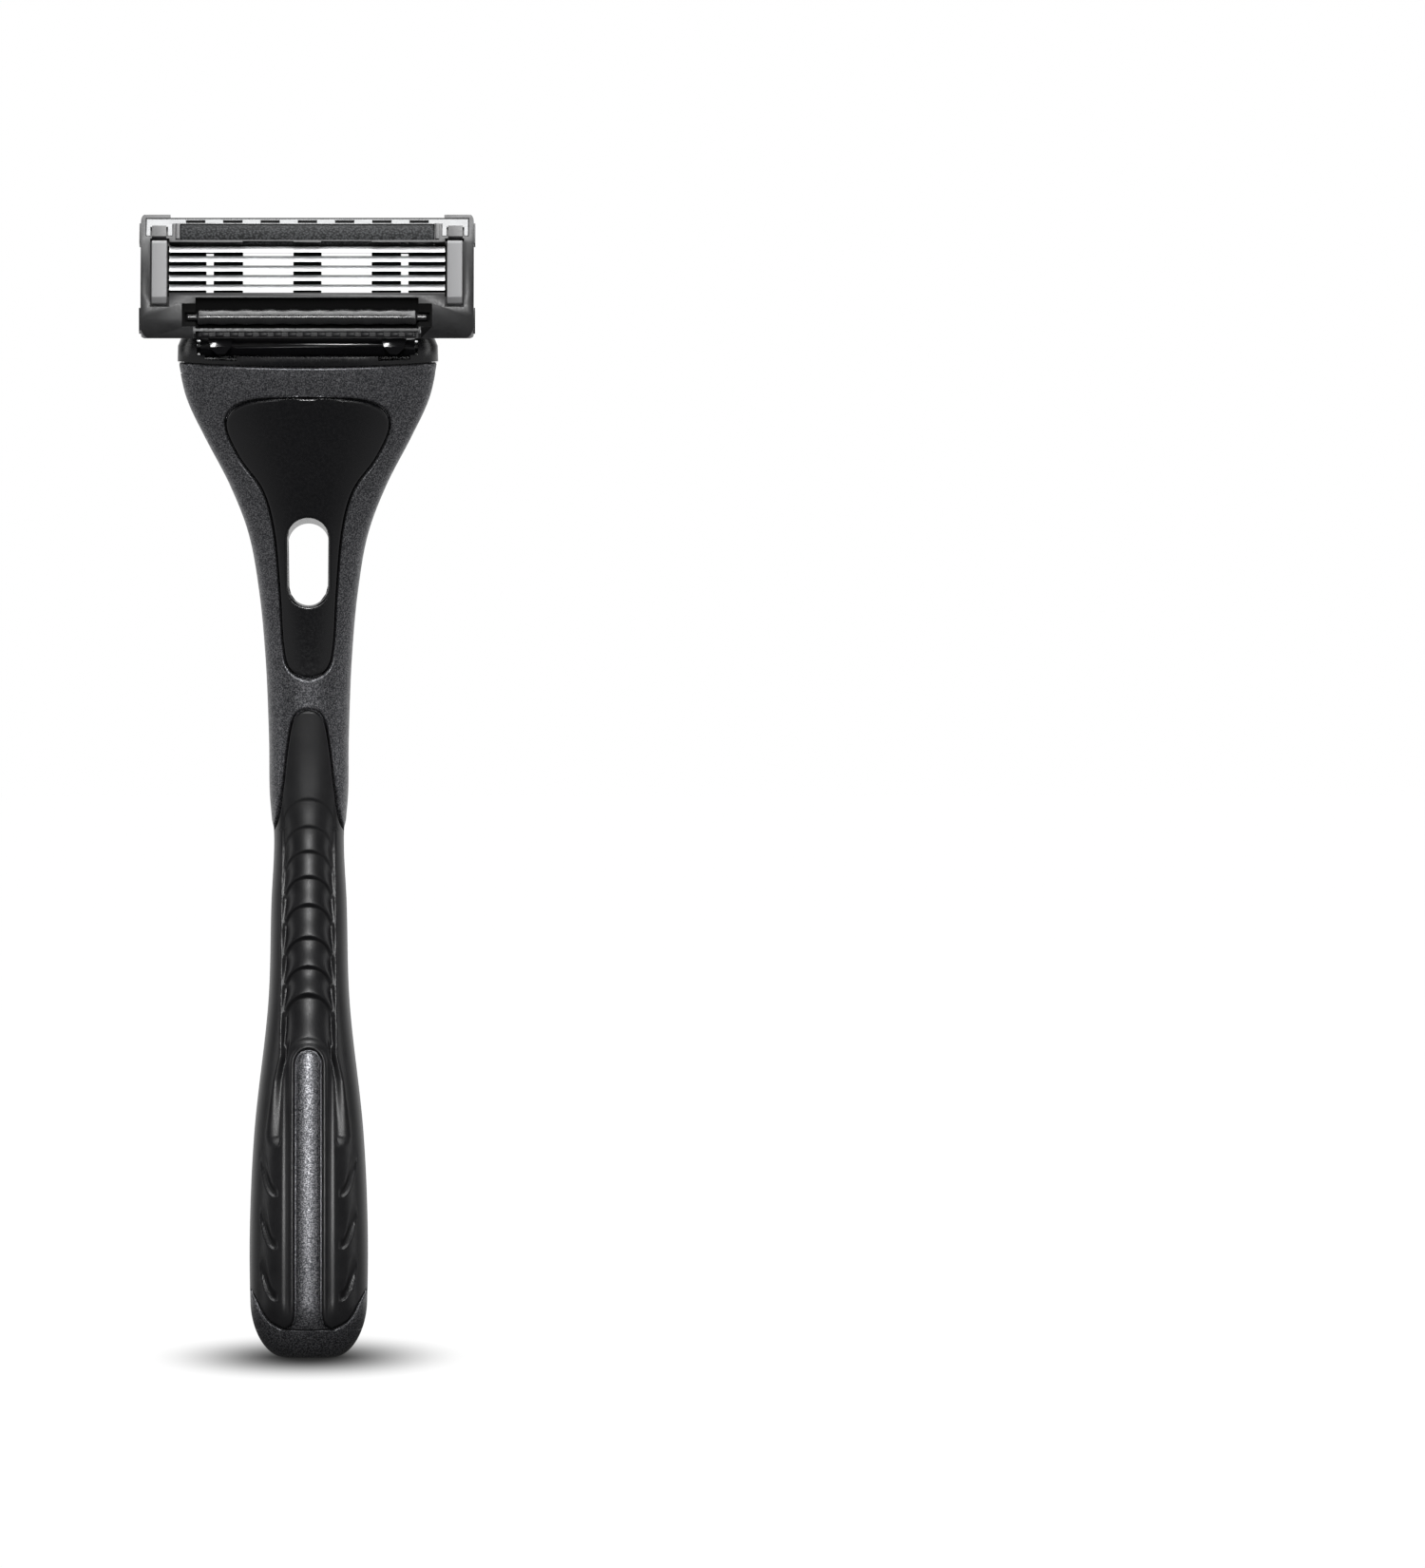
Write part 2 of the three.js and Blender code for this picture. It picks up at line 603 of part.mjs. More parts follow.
function bracketSolid(edge) {
  const top = blade.thick + bracket.gap;
  const [outerY, outerZ] = onBlade(edge, 1.22, top);
  const outline = [
    onBlade(edge, 0.45, top), [outerY, outerZ], [bracket.reach, outerZ],
    [bracket.reach, outerZ - bracket.thick], onBlade(edge, 0.98, top + bracket.thick),
    onBlade(edge, 0.45, top + bracket.thick),
  ];
  return alongX(outline, -bracket.half, bracket.half);
}

function strap(side) {
  const outline = [
    [-0.15, 3.3], [0.1, 3.7], [0.9, 3.7], [0.9, -3.6], [1.25, -3.9], [1.25, -4.5], [0.5, -4.5], [-0.15, -3.9],
  ];
  const { inner, outer } = strapSpan;
  return side > 0 ? alongX(outline, inner, outer) : alongX(outline, -outer, -inner);
}

function finGuard() {
  const { low, high, half } = finBand;
  const base = alongX(band(onGuard, low, high, 0.1, 0.8), -half, half);
  const finPitch = 1.83;
  const fins = Array.from({ length: 15 }, (_, i) => {
    const centre = (i - 7) * finPitch;
    return alongX(band(onGuard, low + 0.07, high - 0.1, -0.25, 0.2), centre - 0.5, centre + 0.5);
  });
  return join(base, ...fins);
}

// A six-sided roller with scalloped facets and a stub axle at each end.
function guardRoller() {
  const steps = scallops * 4;
  const waist = Array.from({ length: steps + 1 }, (_, i) => {
    const height = -roller.half + (2 * roller.half * i) / steps;
    const wave = Math.cos((2 * Math.PI * scallops * i) / steps);
    return new THREE.Vector2(roller.radius - 0.13 * (1 - wave) / 2, height);
  });
  const profile = [
    new THREE.Vector2(0, -roller.axleHalf), new THREE.Vector2(roller.axle, -roller.axleHalf),
    new THREE.Vector2(roller.axle, -roller.half), ...waist,
    new THREE.Vector2(roller.axle, roller.half), new THREE.Vector2(roller.axle, roller.axleHalf),
    new THREE.Vector2(0, roller.axleHalf),
  ];
  const geometry = new THREE.LatheGeometry(profile, 6);
  geometry.rotateZ(Math.PI / 2);
  geometry.rotateX(rollerTurn);
  const [y, z] = onGuard(roller.along, roller.depth);
  geometry.translate(0, y, z);
  return solid(geometry);
}

add('cartridge_frame', cartridgeFrame(), cartridgeBlack, cartridge);
add('cap_bar', capBar(), steel, cartridge);
add('lube_strip', lubeStrip(), lubricant, cartridge);
for (let i = 0; i < bladeCount; i += 1) {
  const edge = firstEdge + i * bladePitch;
  add(`blade_${i + 1}`, bladeSolid(edge), steel, cartridge);
  add(`blade_bracket_${i + 1}`, bracketSolid(edge), springSteel, cartridge);
}
add('end_strap_left', strap(-1), glossBlack, cartridge);
add('end_strap_right', strap(1), glossBlack, cartridge);
add('fin_guard', finGuard(), rubberBlack, cartridge);
add('guard_roller', guardRoller(), satinBlack, cartridge);

export default root;
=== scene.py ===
import json
import math

import bmesh
import bpy
import numpy as np
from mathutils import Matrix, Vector

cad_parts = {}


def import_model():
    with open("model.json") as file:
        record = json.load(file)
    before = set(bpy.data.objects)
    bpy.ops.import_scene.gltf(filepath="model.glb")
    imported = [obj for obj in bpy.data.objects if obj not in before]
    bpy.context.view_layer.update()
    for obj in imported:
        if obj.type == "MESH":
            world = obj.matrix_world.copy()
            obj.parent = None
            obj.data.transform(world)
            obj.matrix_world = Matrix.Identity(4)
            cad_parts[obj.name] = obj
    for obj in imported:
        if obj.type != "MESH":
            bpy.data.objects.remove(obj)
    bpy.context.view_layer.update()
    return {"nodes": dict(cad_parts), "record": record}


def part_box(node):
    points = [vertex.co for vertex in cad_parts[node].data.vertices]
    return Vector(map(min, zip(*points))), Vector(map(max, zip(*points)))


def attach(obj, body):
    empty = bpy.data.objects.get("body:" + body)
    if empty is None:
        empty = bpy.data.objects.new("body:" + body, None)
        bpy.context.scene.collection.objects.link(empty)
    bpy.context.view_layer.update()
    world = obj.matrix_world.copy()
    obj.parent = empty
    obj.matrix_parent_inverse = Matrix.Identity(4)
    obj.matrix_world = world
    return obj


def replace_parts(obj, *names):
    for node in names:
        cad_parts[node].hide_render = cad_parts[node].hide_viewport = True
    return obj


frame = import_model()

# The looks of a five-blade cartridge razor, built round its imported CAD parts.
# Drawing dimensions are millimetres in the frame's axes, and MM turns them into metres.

BODY_OF = {node: body for body, nodes in frame["record"]["behaviour"]["bodies"].items() for node in nodes}

# ---------------------------------------------------------------- driving dimensions

CORE_TOP = 125.1
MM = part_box("handle_core")[1].z / CORE_TOP

# Handle: height, half width, half depth, and how far back the centre line lies.
STATIONS = np.array([
    (0, 7.2, 5.7, 0), (15, 7.45, 6.2, 1.0), (28, 6.9, 6.3, 2.4), (45, 5.1, 5.9, 4.1),
    (57, 4.75, 5.5, 4.9), (65.5, 4.4, 5.2, 5.1), (71, 4.8, 5.1, 5.0), (77, 5.0, 5.0, 4.65),
    (88, 5.45, 4.6, 3.3), (97, 6.3, 4.3, 1.6), (104, 7.6, 4.2, 0.1), (110, 9.9, 4.3, -1.2),
    (116, 13.0, 4.5, -2.4), (121, 15.35, 4.8, -3.3), (126, 16.45, 5.1, -4.0),
])
BUTT_ROUND = 7         # height over which the butt is rounded
BUTT_FLAT = 0.42       # size of the flat on the butt, as a share of the section
ROUNDNESS = 2.5        # power of the superellipse that the sections are
SKIN = 1.0             # thickness of the skins that are built here
GAP = 0.2              # seam between a skin and the core
SHRINK = 0.02          # how far a skin stays inside its outline
EDGE = 0.3             # rounding of a skin's edge
CORE_EDGE = 0.28       # rounding of the core's edge at a seam
RIM_EDGE = 0.3         # rounding of the core's rim under the collar
GRIP_FRONT = -0.9      # the grip's side edge, in front of the centre line
COLLAR_GAP = 0.15      # seam between the core's top and the collar
RIM_HALF = 16.4        # half width of the collar's lower rim
PARTING_RISE = 0.55    # how far the parting line rises from its middle to its ends
PARTING_DIP = 0.25     # how far its middle lies below the flat
SLOT_HALF, SLOT_LOW, SLOT_HIGH = 2.65, 94.6, 105.8
STRIP_HALF, STRIP_TOP = 1.75, 38.9
BUTTON_HALF, BUTTON_LOW, BUTTON_HIGH = 5.3, 111.5, 121.4    # the window for the release button
CHAMBER = (-7, 7, -5.2, -0.2)    # opening in the core's top: its sides, front and back

# Right halves of the outlines, as (x, height), from the top of the centre line to its bottom.
INLAY = [(0, 121.1), (6, 120.8), (9.3, 119.7), (10.3, 117.3), (8.6, 113.4), (5.7, 109.3),
         (4.3, 104.2), (3.6, 96.7), (3.2, 90), (2.4, 86.8), (0, 85.6)]
COVER = [(0, 123.6), (8, 123.3), (11.4, 121.8), (11.9, 118.8), (9.9, 113.5), (7.2, 109.3),
         (5.2, 104.2), (4.1, 97), (3.8, 91), (2.8, 88.1), (0, 87)]
REAR_PAD = [(0, 79), (1.9, 77.6), (2.8, 73), (3.1, 60), (3.4, 40), (4.1, 22), (3.6, 12), (2, 9.4), (0, 8.8)]
GRIP = [(0, 81.5), (1.4, 81), (2.2, 79.4), (2.8, 75.7), (3.3, 71.5), (4.3, 66.6), (8, 63),
        (11, 50), (11, 14), (7.2, 8.4), (5.2, 5.0), (3.0, 3.7)]
FOOT = [(1.75, 20), (1.75, 12), (1.75, 7), (1.95, 4.6), (3.0, 3.7)]
FOOT_TOP, FOOT_LOW = FOOT[0][1], FOOT[-1][1]

# Cartridge: how far it leans back, and where its centre lies.
TILT = math.radians(20)
CENTRE_Y, CENTRE_Z = -12, 137.45

WELD = 0.002           # points closer than this become one
CAD_WELD = 0.004       # the same for meshes copied from the CAD
SHARP = math.radians(28)    # edges sharper than this are bevelled
MIDDLE = 1e-3          # an edge closer than this to the rear centre has reached it

# ---------------------------------------------------------------- meshes and pieces


def make(name, vertices, faces, material, body):
    """A piece made of vertices in millimetres and faces."""
    mesh = bpy.data.meshes.new(name)
    mesh.from_pydata((np.asarray(vertices, float) * MM).tolist(), [], faces)
    mesh.update()
    return finish_piece(name, mesh, material, body)


def finish_piece(name, mesh, material, body):
    """Welds, smooths and paints a mesh, and lets it ride on a body."""
    work = bmesh.new()
    work.from_mesh(mesh)
    bmesh.ops.remove_doubles(work, verts=work.verts, dist=WELD * MM)
    bmesh.ops.dissolve_degenerate(work, edges=work.edges, dist=1e-4 * MM)
    bmesh.ops.recalc_face_normals(work, faces=work.faces)
    work.to_mesh(mesh)
    work.free()
    mesh.shade_smooth()
    piece = bpy.data.objects.new(name, mesh)
    bpy.context.scene.collection.objects.link(piece)
    piece.data.materials.append(material)
    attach(piece, body)
    return piece


def applied(piece):
    """Replaces a piece's mesh by what its modifiers make of it."""
    graph = bpy.context.evaluated_depsgraph_get()
    mesh = bpy.data.meshes.new_from_object(piece.evaluated_get(graph))
    piece.modifiers.clear()
    piece.data = mesh
    return piece


def cad_copy(node, whole_faces):
    """A CAD node's mesh again, welded and, if wanted, with its flat faces whole."""
    mesh = frame["nodes"][node].data.copy()
    mesh.materials.clear()
    work = bmesh.new()
    work.from_mesh(mesh)
    bmesh.ops.remove_doubles(work, verts=work.verts, dist=CAD_WELD * MM)
    if whole_faces:
        bmesh.ops.dissolve_limit(work, angle_limit=math.radians(1), verts=work.verts, edges=work.edges)
    work.to_mesh(mesh)
    work.free()
    piece = bpy.data.objects.new(node + "_look", mesh)
    bpy.context.scene.collection.objects.link(piece)
    return piece


def bevelled(node, width, material, segments=2, shape=None, whole_faces=True):
    """A CAD node with its edges rounded off, standing for that node.

    One segment gives a plain chamfer and flat shading, and a shape moves each vertex first.
    """
    piece = cad_copy(node, whole_faces)
    if shape is not None:
        for vertex in piece.data.vertices:
            vertex.co = shape(vertex.co)
    piece.data.materials.append(material)
    bevel = piece.modifiers.new("bevel", "BEVEL")
    bevel.width = width * MM
    bevel.segments = segments
    bevel.limit_method = "ANGLE"
    bevel.angle_limit = SHARP
    bevel.use_clamp_overlap = True
    bevel.harden_normals = True
    piece.data.shade_smooth()
    applied(piece)
    if segments == 1:
        piece.data.shade_flat()
    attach(piece, BODY_OF[node])
    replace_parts(piece, node)
    return piece


# ---------------------------------------------------------------- materials


class Shader:
    """A Principled material with a few short ways to add nodes."""

    def __init__(self, name, slot, colour, roughness, metallic=0.0, **sockets):
        self.material = bpy.data.materials.new(name)
        self.material.use_nodes = True
        self.nodes = self.material.node_tree.nodes
        self.links = self.material.node_tree.links
        self.surface = self.nodes["Principled BSDF"]
        self.set("Base Color", (*colour, 1))
        self.set("Roughness", roughness)
        self.set("Metallic", metallic)
        for socket, value in sockets.items():
            self.set(socket.replace("_", " "), value)
        self.place = self.nodes.new("ShaderNodeTexCoord").outputs["Object"]
        self.bump_in = None

    def set(self, socket, value):
        self.surface.inputs[socket].default_value = value

    def noise(self, size, detail=2.0, stretch=(1, 1, 1)):
        """Noise whose features are about a size in millimetres."""
        node = self.nodes.new("ShaderNodeTexNoise")
        node.inputs["Scale"].default_value = 1 / (size * MM)
        node.inputs["Detail"].default_value = detail
        place = self.place
        if stretch != (1, 1, 1):
            mapping = self.nodes.new("ShaderNodeMapping")
            mapping.inputs["Scale"].default_value = stretch
            self.links.new(place, mapping.inputs["Vector"])
            place = mapping.outputs["Vector"]
        self.links.new(place, node.inputs["Vector"])
        return node.outputs["Fac"]

    def cells(self, size):
        """Cells of about a size in millimetres."""
        node = self.nodes.new("ShaderNodeTexVoronoi")
        node.inputs["Scale"].default_value = 1 / (size * MM)
        self.links.new(self.place, node.inputs["Vector"])
        return node

    def ramp(self, source, low, high, from_low=0.3, from_high=0.7):
        """Maps a factor to colours or grey values between two stops."""
        node = self.nodes.new("ShaderNodeValToRGB")
        stops = node.color_ramp.elements
        for stop, position, value in zip(stops, (from_low, from_high), (low, high)):
            stop.position = position
            stop.color = (*value, 1) if hasattr(value, "__len__") else (value, value, value, 1)
        self.links.new(source, node.inputs["Fac"])
        return node.outputs["Color"]

    def colour(self, source, low, high, from_low=0.3, from_high=0.7):
        self.links.new(self.ramp(source, low, high, from_low, from_high), self.surface.inputs["Base Color"])

    def roughness(self, source, low, high, from_low=0.3, from_high=0.7):
        self.links.new(self.ramp(source, low, high, from_low, from_high), self.surface.inputs["Roughness"])

    def bump(self, source, height):
        """Raises the surface by up to a height in millimetres where the source is bright."""
        node = self.nodes.new("ShaderNodeBump")
        node.inputs["Distance"].default_value = height * MM
        node.inputs["Strength"].default_value = 1.0
        self.links.new(source, node.inputs["Height"])
        if self.bump_in is not None:
            self.links.new(self.bump_in, node.inputs["Normal"])
        self.bump_in = node.outputs["Normal"]
        self.links.new(self.bump_in, self.surface.inputs["Normal"])


def graphite_look():
    """A dark metallic coat with paler flecks."""
    look = Shader("graphite_coat", "graphite_coat", (0.07, 0.07, 0.075), 0.42, 0.75)
    fleck = look.noise(0.16, 1.0)
    look.colour(fleck, (0.035, 0.036, 0.04), (0.19, 0.19, 0.2), 0.42, 0.66)
    look.roughness(look.noise(0.5), 0.31, 0.45)
    look.bump(fleck, 0.012)
    return look.material


def satin_look():
    look = Shader("satin_black", "satin_black", (0.005, 0.005, 0.006), 0.26)
    look.roughness(look.noise(0.35), 0.2, 0.3)
    look.bump(look.noise(0.12, 3.0), 0.003)
    return look.material


def rubber_look(name, shine):
    look = Shader(name, "soft_rubber", (0.008, 0.008, 0.009), 0.5, Specular_IOR_Level=shine)
    grain = look.noise(0.1, 3.0)
    look.colour(look.noise(2.5, 3.0), (0.006, 0.006, 0.007), (0.011, 0.011, 0.012))
    look.roughness(grain, 0.28, 0.42)
    look.bump(grain, 0.005)
    return look.material


def gloss_look():
    look = Shader("gloss_black", "gloss_black", (0.008, 0.008, 0.009), 0.12, Specular_IOR_Level=0.3)
    look.roughness(look.noise(1.2), 0.09, 0.17)
    look.bump(look.noise(0.8, 1.0), 0.002)
    return look.material


def cartridge_look():
    look = Shader("cartridge_black", "cartridge_black", (0.012, 0.012, 0.013), 0.45, Specular_IOR_Level=0.7)
    look.colour(look.noise(1.8, 3.0), (0.009, 0.009, 0.01), (0.015, 0.015, 0.016))
    look.roughness(look.noise(0.3), 0.34, 0.48)
    look.bump(look.noise(0.14, 3.0), 0.004)
    return look.material


def hollow_shade_look():
    """Painted shade: a darker, matt copy of the cartridge plastic for the inside of the frame's bays and
    pocket.
    """
    look = Shader("hollow_painted_shade", "cartridge_black", (0.004, 0.004, 0.004), 0.8, Specular_IOR_Level=0.15)
    look.bump(look.noise(0.14, 3.0), 0.004)
    return look.material


def strap_look():
    look = Shader("strap_grey", "gloss_black", (0.26, 0.26, 0.265), 0.5, 0.0)
    look.roughness(look.noise(0.6), 0.45, 0.55)
    look.bump(look.noise(0.5, 1.0), 0.001)
    return look.material


def roller_look():
    look = Shader("roller_black", "satin_black", (0.02, 0.02, 0.021), 0.3, Specular_IOR_Level=1.0)
    look.roughness(look.noise(0.6), 0.24, 0.36)
    look.bump(look.noise(0.4, 1.0), 0.002)
    return look.material


def steel_look(name, low, high, grey=0.78):
    """Steel brushed along x, with a roughness between low and high."""
    look = Shader(name, "polished_steel", (grey, grey * 1.01, grey * 1.02), low, 1.0)
    brushed = look.noise(0.09, 2.0, (0.04, 1, 1))
    look.roughness(brushed, low, high)
    look.bump(brushed, 0.0015)
    return look.material


def spring_look():
    look = Shader("spring_steel", "spring_steel", (0.5, 0.51, 0.52), 0.32, 1.0)
    look.roughness(look.noise(0.2), 0.26, 0.4)
    look.bump(look.noise(0.1), 0.002)
    return look.material


def strip_look():
    """The lubricating strip's grains."""
    look = Shader("lubricant", "lubricant", (0.05, 0.052, 0.055), 0.8, Specular_IOR_Level=0.25)
    grains = look.cells(0.28)
    look.colour(grains.outputs["Distance"], (0.06, 0.062, 0.065), (0.008, 0.0085, 0.009), 0.1, 0.7)
    look.bump(grains.outputs["Distance"], -0.05)
    look.bump(look.noise(0.08), 0.015)
    return look.material


def floor_look():
    """A pale floor that glows so that it looks white, with a painted soft shadow where the razor stands.

    What the object reflects of it is painted light: darker, and lighter to the sides and behind.
    """
    painted_shadow_half_x, painted_shadow_half_y = 21, 60
    look = Shader("floor", None, (0.01, 0.01, 0.01), 0.9, Specular_IOR_Level=0.0, Emission_Strength=1.0)
    nodes, links = look.nodes, look.links
    mapping = nodes.new("ShaderNodeMapping")
    mapping.inputs["Scale"].default_value = (1 / (painted_shadow_half_x * MM), 1 / (painted_shadow_half_y * MM), 1)
    reach = nodes.new("ShaderNodeVectorMath")
    reach.operation = "LENGTH"
    links.new(look.place, mapping.inputs["Vector"])
    links.new(mapping.outputs["Vector"], reach.inputs[0])
    # Painted shadow: the glow is darkest where the razor stands and fades out round it.
    shade = look.ramp(reach.outputs["Value"], 0.02, 1.0, 0.1, 1.0)
    shade.node.color_ramp.interpolation = "EASE"
    parts = nodes.new("ShaderNodeSeparateXYZ")
    links.new(look.place, parts.inputs["Vector"])
    aside = nodes.new("ShaderNodeMath")
    aside.operation = "ABSOLUTE"
    links.new(parts.outputs["X"], aside.inputs[0])
    # Painted light for reflections: what the razor sees of the floor is dark in front and lighter to the
    # sides and behind.
    sides = look.ramp(aside.outputs["Value"], 0.05, 0.4, 0.03, 0.12)
    behind = look.ramp(parts.outputs["Y"], 0.0, 1.0, 0.02, 0.2)
    painted_light = nodes.new("ShaderNodeMix")
    painted_light.data_type = "RGBA"
    links.new(behind, painted_light.inputs["Factor"])
    links.new(sides, painted_light.inputs["A"])
    painted_light.inputs["B"].default_value = (0.9, 0.9, 0.9, 1)
    path = nodes.new("ShaderNodeLightPath")
    seen = nodes.new("ShaderNodeMix")
    seen.data_type = "RGBA"
    links.new(path.outputs["Is Camera Ray"], seen.inputs["Factor"])
    links.new(painted_light.outputs["Result"], seen.inputs["A"])
    links.new(shade, seen.inputs["B"])
    links.new(seen.outputs["Result"], look.surface.inputs["Emission Color"])
    return look.material


GRAPHITE = graphite_look()
SATIN = satin_look()
RUBBER = rubber_look("soft_rubber", 0.38)
FIN_RUBBER = rubber_look("fin_rubber", 0.15)
GLOSS = gloss_look()
CARTRIDGE = cartridge_look()
HOLLOW_SHADE = hollow_shade_look()
STRAP = strap_look()
STEEL = steel_look("polished_steel", 0.12, 0.26)
BLADE = steel_look("blade_steel", 0.36, 0.5)
BAR = steel_look("bar_steel", 0.5, 0.6, 0.26)
ROLLER = roller_look()
SPRING = spring_look()
STRIP = strip_look()

# ---------------------------------------------------------------- handle form


def smooth(column):
    """The smooth curve through one column of the stations, as the CAD draws it."""
    heights = STATIONS[:, 0]
    values = STATIONS[:, column]
    slopes = np.diff(values) / np.diff(heights)
    tangents = np.concatenate([slopes[:1], (slopes[:-1] + slopes[1:]) / 2, slopes[-1:]])

    def at(z):
        i = int(np.clip(np.searchsorted(heights, z) - 1, 0, len(slopes) - 1))
        span = heights[i + 1] - heights[i]
        t = (z - heights[i]) / span
        return ((2 * t**3 - 3 * t**2 + 1) * values[i] + (t**3 - 2 * t**2 + t) * span * tangents[i]
                + (3 * t**2 - 2 * t**3) * values[i + 1] + (t**3 - t**2) * span * tangents[i + 1])
    return at


width_at = smooth(1)
depth_at = smooth(2)
centre_at = smooth(3)
TURN = np.linspace(0, math.pi, 361)
_sections = {}         # the sections worked out so far


def butt_factor(z):
    """How much smaller than its station the section is, where the butt is rounded."""
    if z >= BUTT_ROUND:
        return 1
    rise = 1 - max(z, 0) / BUTT_ROUND
    return BUTT_FLAT + (1 - BUTT_FLAT) * math.sqrt(1 - rise * rise)


def section(z):
    """x, y and distance run along the right half of the handle's section, from front to back."""
    key = round(z, 4)
    if key not in _sections:
        factor = butt_factor(z)
        across, back = np.sin(TURN), -np.cos(TURN)
        x = width_at(z) * factor * np.abs(across) ** (2 / ROUNDNESS)
        y = centre_at(z) + depth_at(z) * factor * np.sign(back) * np.abs(back) ** (2 / ROUNDNESS)
        run = np.concatenate([[0], np.cumsum(np.hypot(np.diff(x), np.diff(y)))])
        _sections[key] = (x, y, run)
    return _sections[key]


def girth(z):
    """How far it is round from the front centre to the rear centre."""
    return section(z)[2][-1]


def front_run(z, x):
    """How far round from the front centre the surface reaches an x."""
    xs, _, run = section(z)
    half = len(xs) // 2 + 1
    return float(np.interp(x, xs[:half], run[:half]))


def rear_run(z, x):
    """How far round from the front centre the surface comes back to an x, behind."""
    xs, _, run = section(z)
    half = len(xs) // 2
    return float(np.interp(x, xs[half:][::-1], run[half:][::-1]))


def side_run(z, behind):
    """How far round the surface is a distance behind the centre line."""
    _, ys, run = section(z)
    return float(np.interp(centre_at(z) + behind, ys, run))


def bend(x, z):
    """How far the parting line, and what lies near it, curves up or down."""
    fade = np.interp(z, [118, 123.5, 127.2, 128.6], [0, 1, 1, 0])
    return fade * (PARTING_RISE * (x / RIM_HALF) ** 2 - PARTING_DIP)


def place(z, runs, lift):
    """Points on the right half of the handle at one height, raised off the surface."""
    xs, ys, run = section(z)
    x = np.interp(runs, run, xs)
    y = np.interp(runs, run, ys)
    share = runs / run[-1]
    step = 0.05
    low, high = max(z - step, 0), min(z + step, CORE_TOP)
    (x0, y0, r0), (x1, y1, r1) = section(low), section(high)
    slope_x = (np.interp(share * r1[-1], r1, x1) - np.interp(share * r0[-1], r0, x0)) / (high - low)
    slope_y = (np.interp(share * r1[-1], r1, y1) - np.interp(share * r0[-1], r0, y0)) / (high - low)
    factor = butt_factor(z)
    power = ROUNDNESS - 1
    across = x / (width_at(z) * factor)
    along = (y - centre_at(z)) / (depth_at(z) * factor)
    nx = np.sign(across) * np.abs(across) ** power / width_at(z)
    ny = np.sign(along) * np.abs(along) ** power / depth_at(z)
    size = np.hypot(nx, ny)
    nx, ny = nx / size, ny / size
    nz = -(nx * slope_x + ny * slope_y)
    reach = lift / np.sqrt(1 + nz * nz)
    return np.stack([x + reach * nx, y + reach * ny, z + bend(x, z) + reach * nz], axis=-1)


def spline(points, steps=14):
    """A smooth line through points; it meets x = 0 squarely where it starts or ends there."""
    inner = np.array(points, float)
    first = inner[1] * [-1, 1] if inner[0][0] == 0 else 2 * inner[0] - inner[1]
    last = inner[-2] * [-1, 1] if inner[-1][0] == 0 else 2 * inner[-1] - inner[-2]
    p = np.vstack([first, inner, last])
    t = np.linspace(0, 1, steps, endpoint=False)[:, None]
    parts = []
    for i in range(len(inner) - 1):
        a, b, c, d = p[i:i + 4]
        parts.append((2 * b + (c - a) * t + (2 * a - 5 * b + 4 * c - d) * t**2
                      + (3 * b - a - 3 * c + d) * t**3) / 2)
    return np.vstack(parts + [inner[-1:]])


def grown(line, amount):
    """A line moved outwards, away from the inside of its outline."""
    along = np.gradient(line, axis=0)
    length = np.hypot(along[:, 0], along[:, 1])
    out = line + amount * np.stack([-along[:, 1], along[:, 0]], axis=1) / length[:, None]
    out[:, 0] = np.maximum(out[:, 0], 0)
    return out


def edge_of(line):
    """The half width of an outline's right half at a height: 0 above and below it."""
    order = np.argsort(line[:, 1])
    heights, widths = line[order, 1], line[order, 0]
    return lambda z: float(np.interp(z, heights, widths, left=0, right=0))


def heights_between(low, high, step, marks=()):
    """Rows from low to high, closer together near the marks."""
    near = np.array([0.004, 0.03, 0.08, 0.15, 0.25, 0.4, 0.6])
    rows = list(np.linspace(low, high, max(2, int((high - low) / step) + 1)))
    for mark in [low, high, *marks]:
        rows += [*(mark - near), *(mark + near)]
    return np.unique(np.round([z for z in rows if low <= z <= high], 4))


JUMP = 1.2             # an edge line that steps further than this between two rows is broken there
REACH = 0.5            # edges further above or below than this don't count
FAR = 9.0              # the distance where no edge is near


def edge_distance(runs, z, edges):
    """How far points at one height are from the nearest edge line, measured on the surface."""
    best = np.full(len(runs), FAR)
    for edge in edges:
        a, b = edge[:-1], edge[1:]
        close = (np.minimum(a[:, 1], b[:, 1]) < z + REACH) & (np.maximum(a[:, 1], b[:, 1]) > z - REACH)
        for (ax, az), (bx, bz) in zip(a[close], b[close]):
            dx, dz = bx - ax, bz - az
            length = dx * dx + dz * dz
            if length < 1e-12 or abs(dx) > JUMP:
                continue
            t = np.clip(((runs - ax) * dx + (z - az) * dz) / length, 0, 1)
            best = np.minimum(best, np.hypot(runs - ax - t * dx, z - az - t * dz))
    return best


def rounded(distance, radius):
    """How far an edge's rounding lies below the surface at a distance from the edge."""
    inside = np.minimum(distance, radius)
    return np.sqrt(radius**2 - (radius - inside) ** 2) - radius


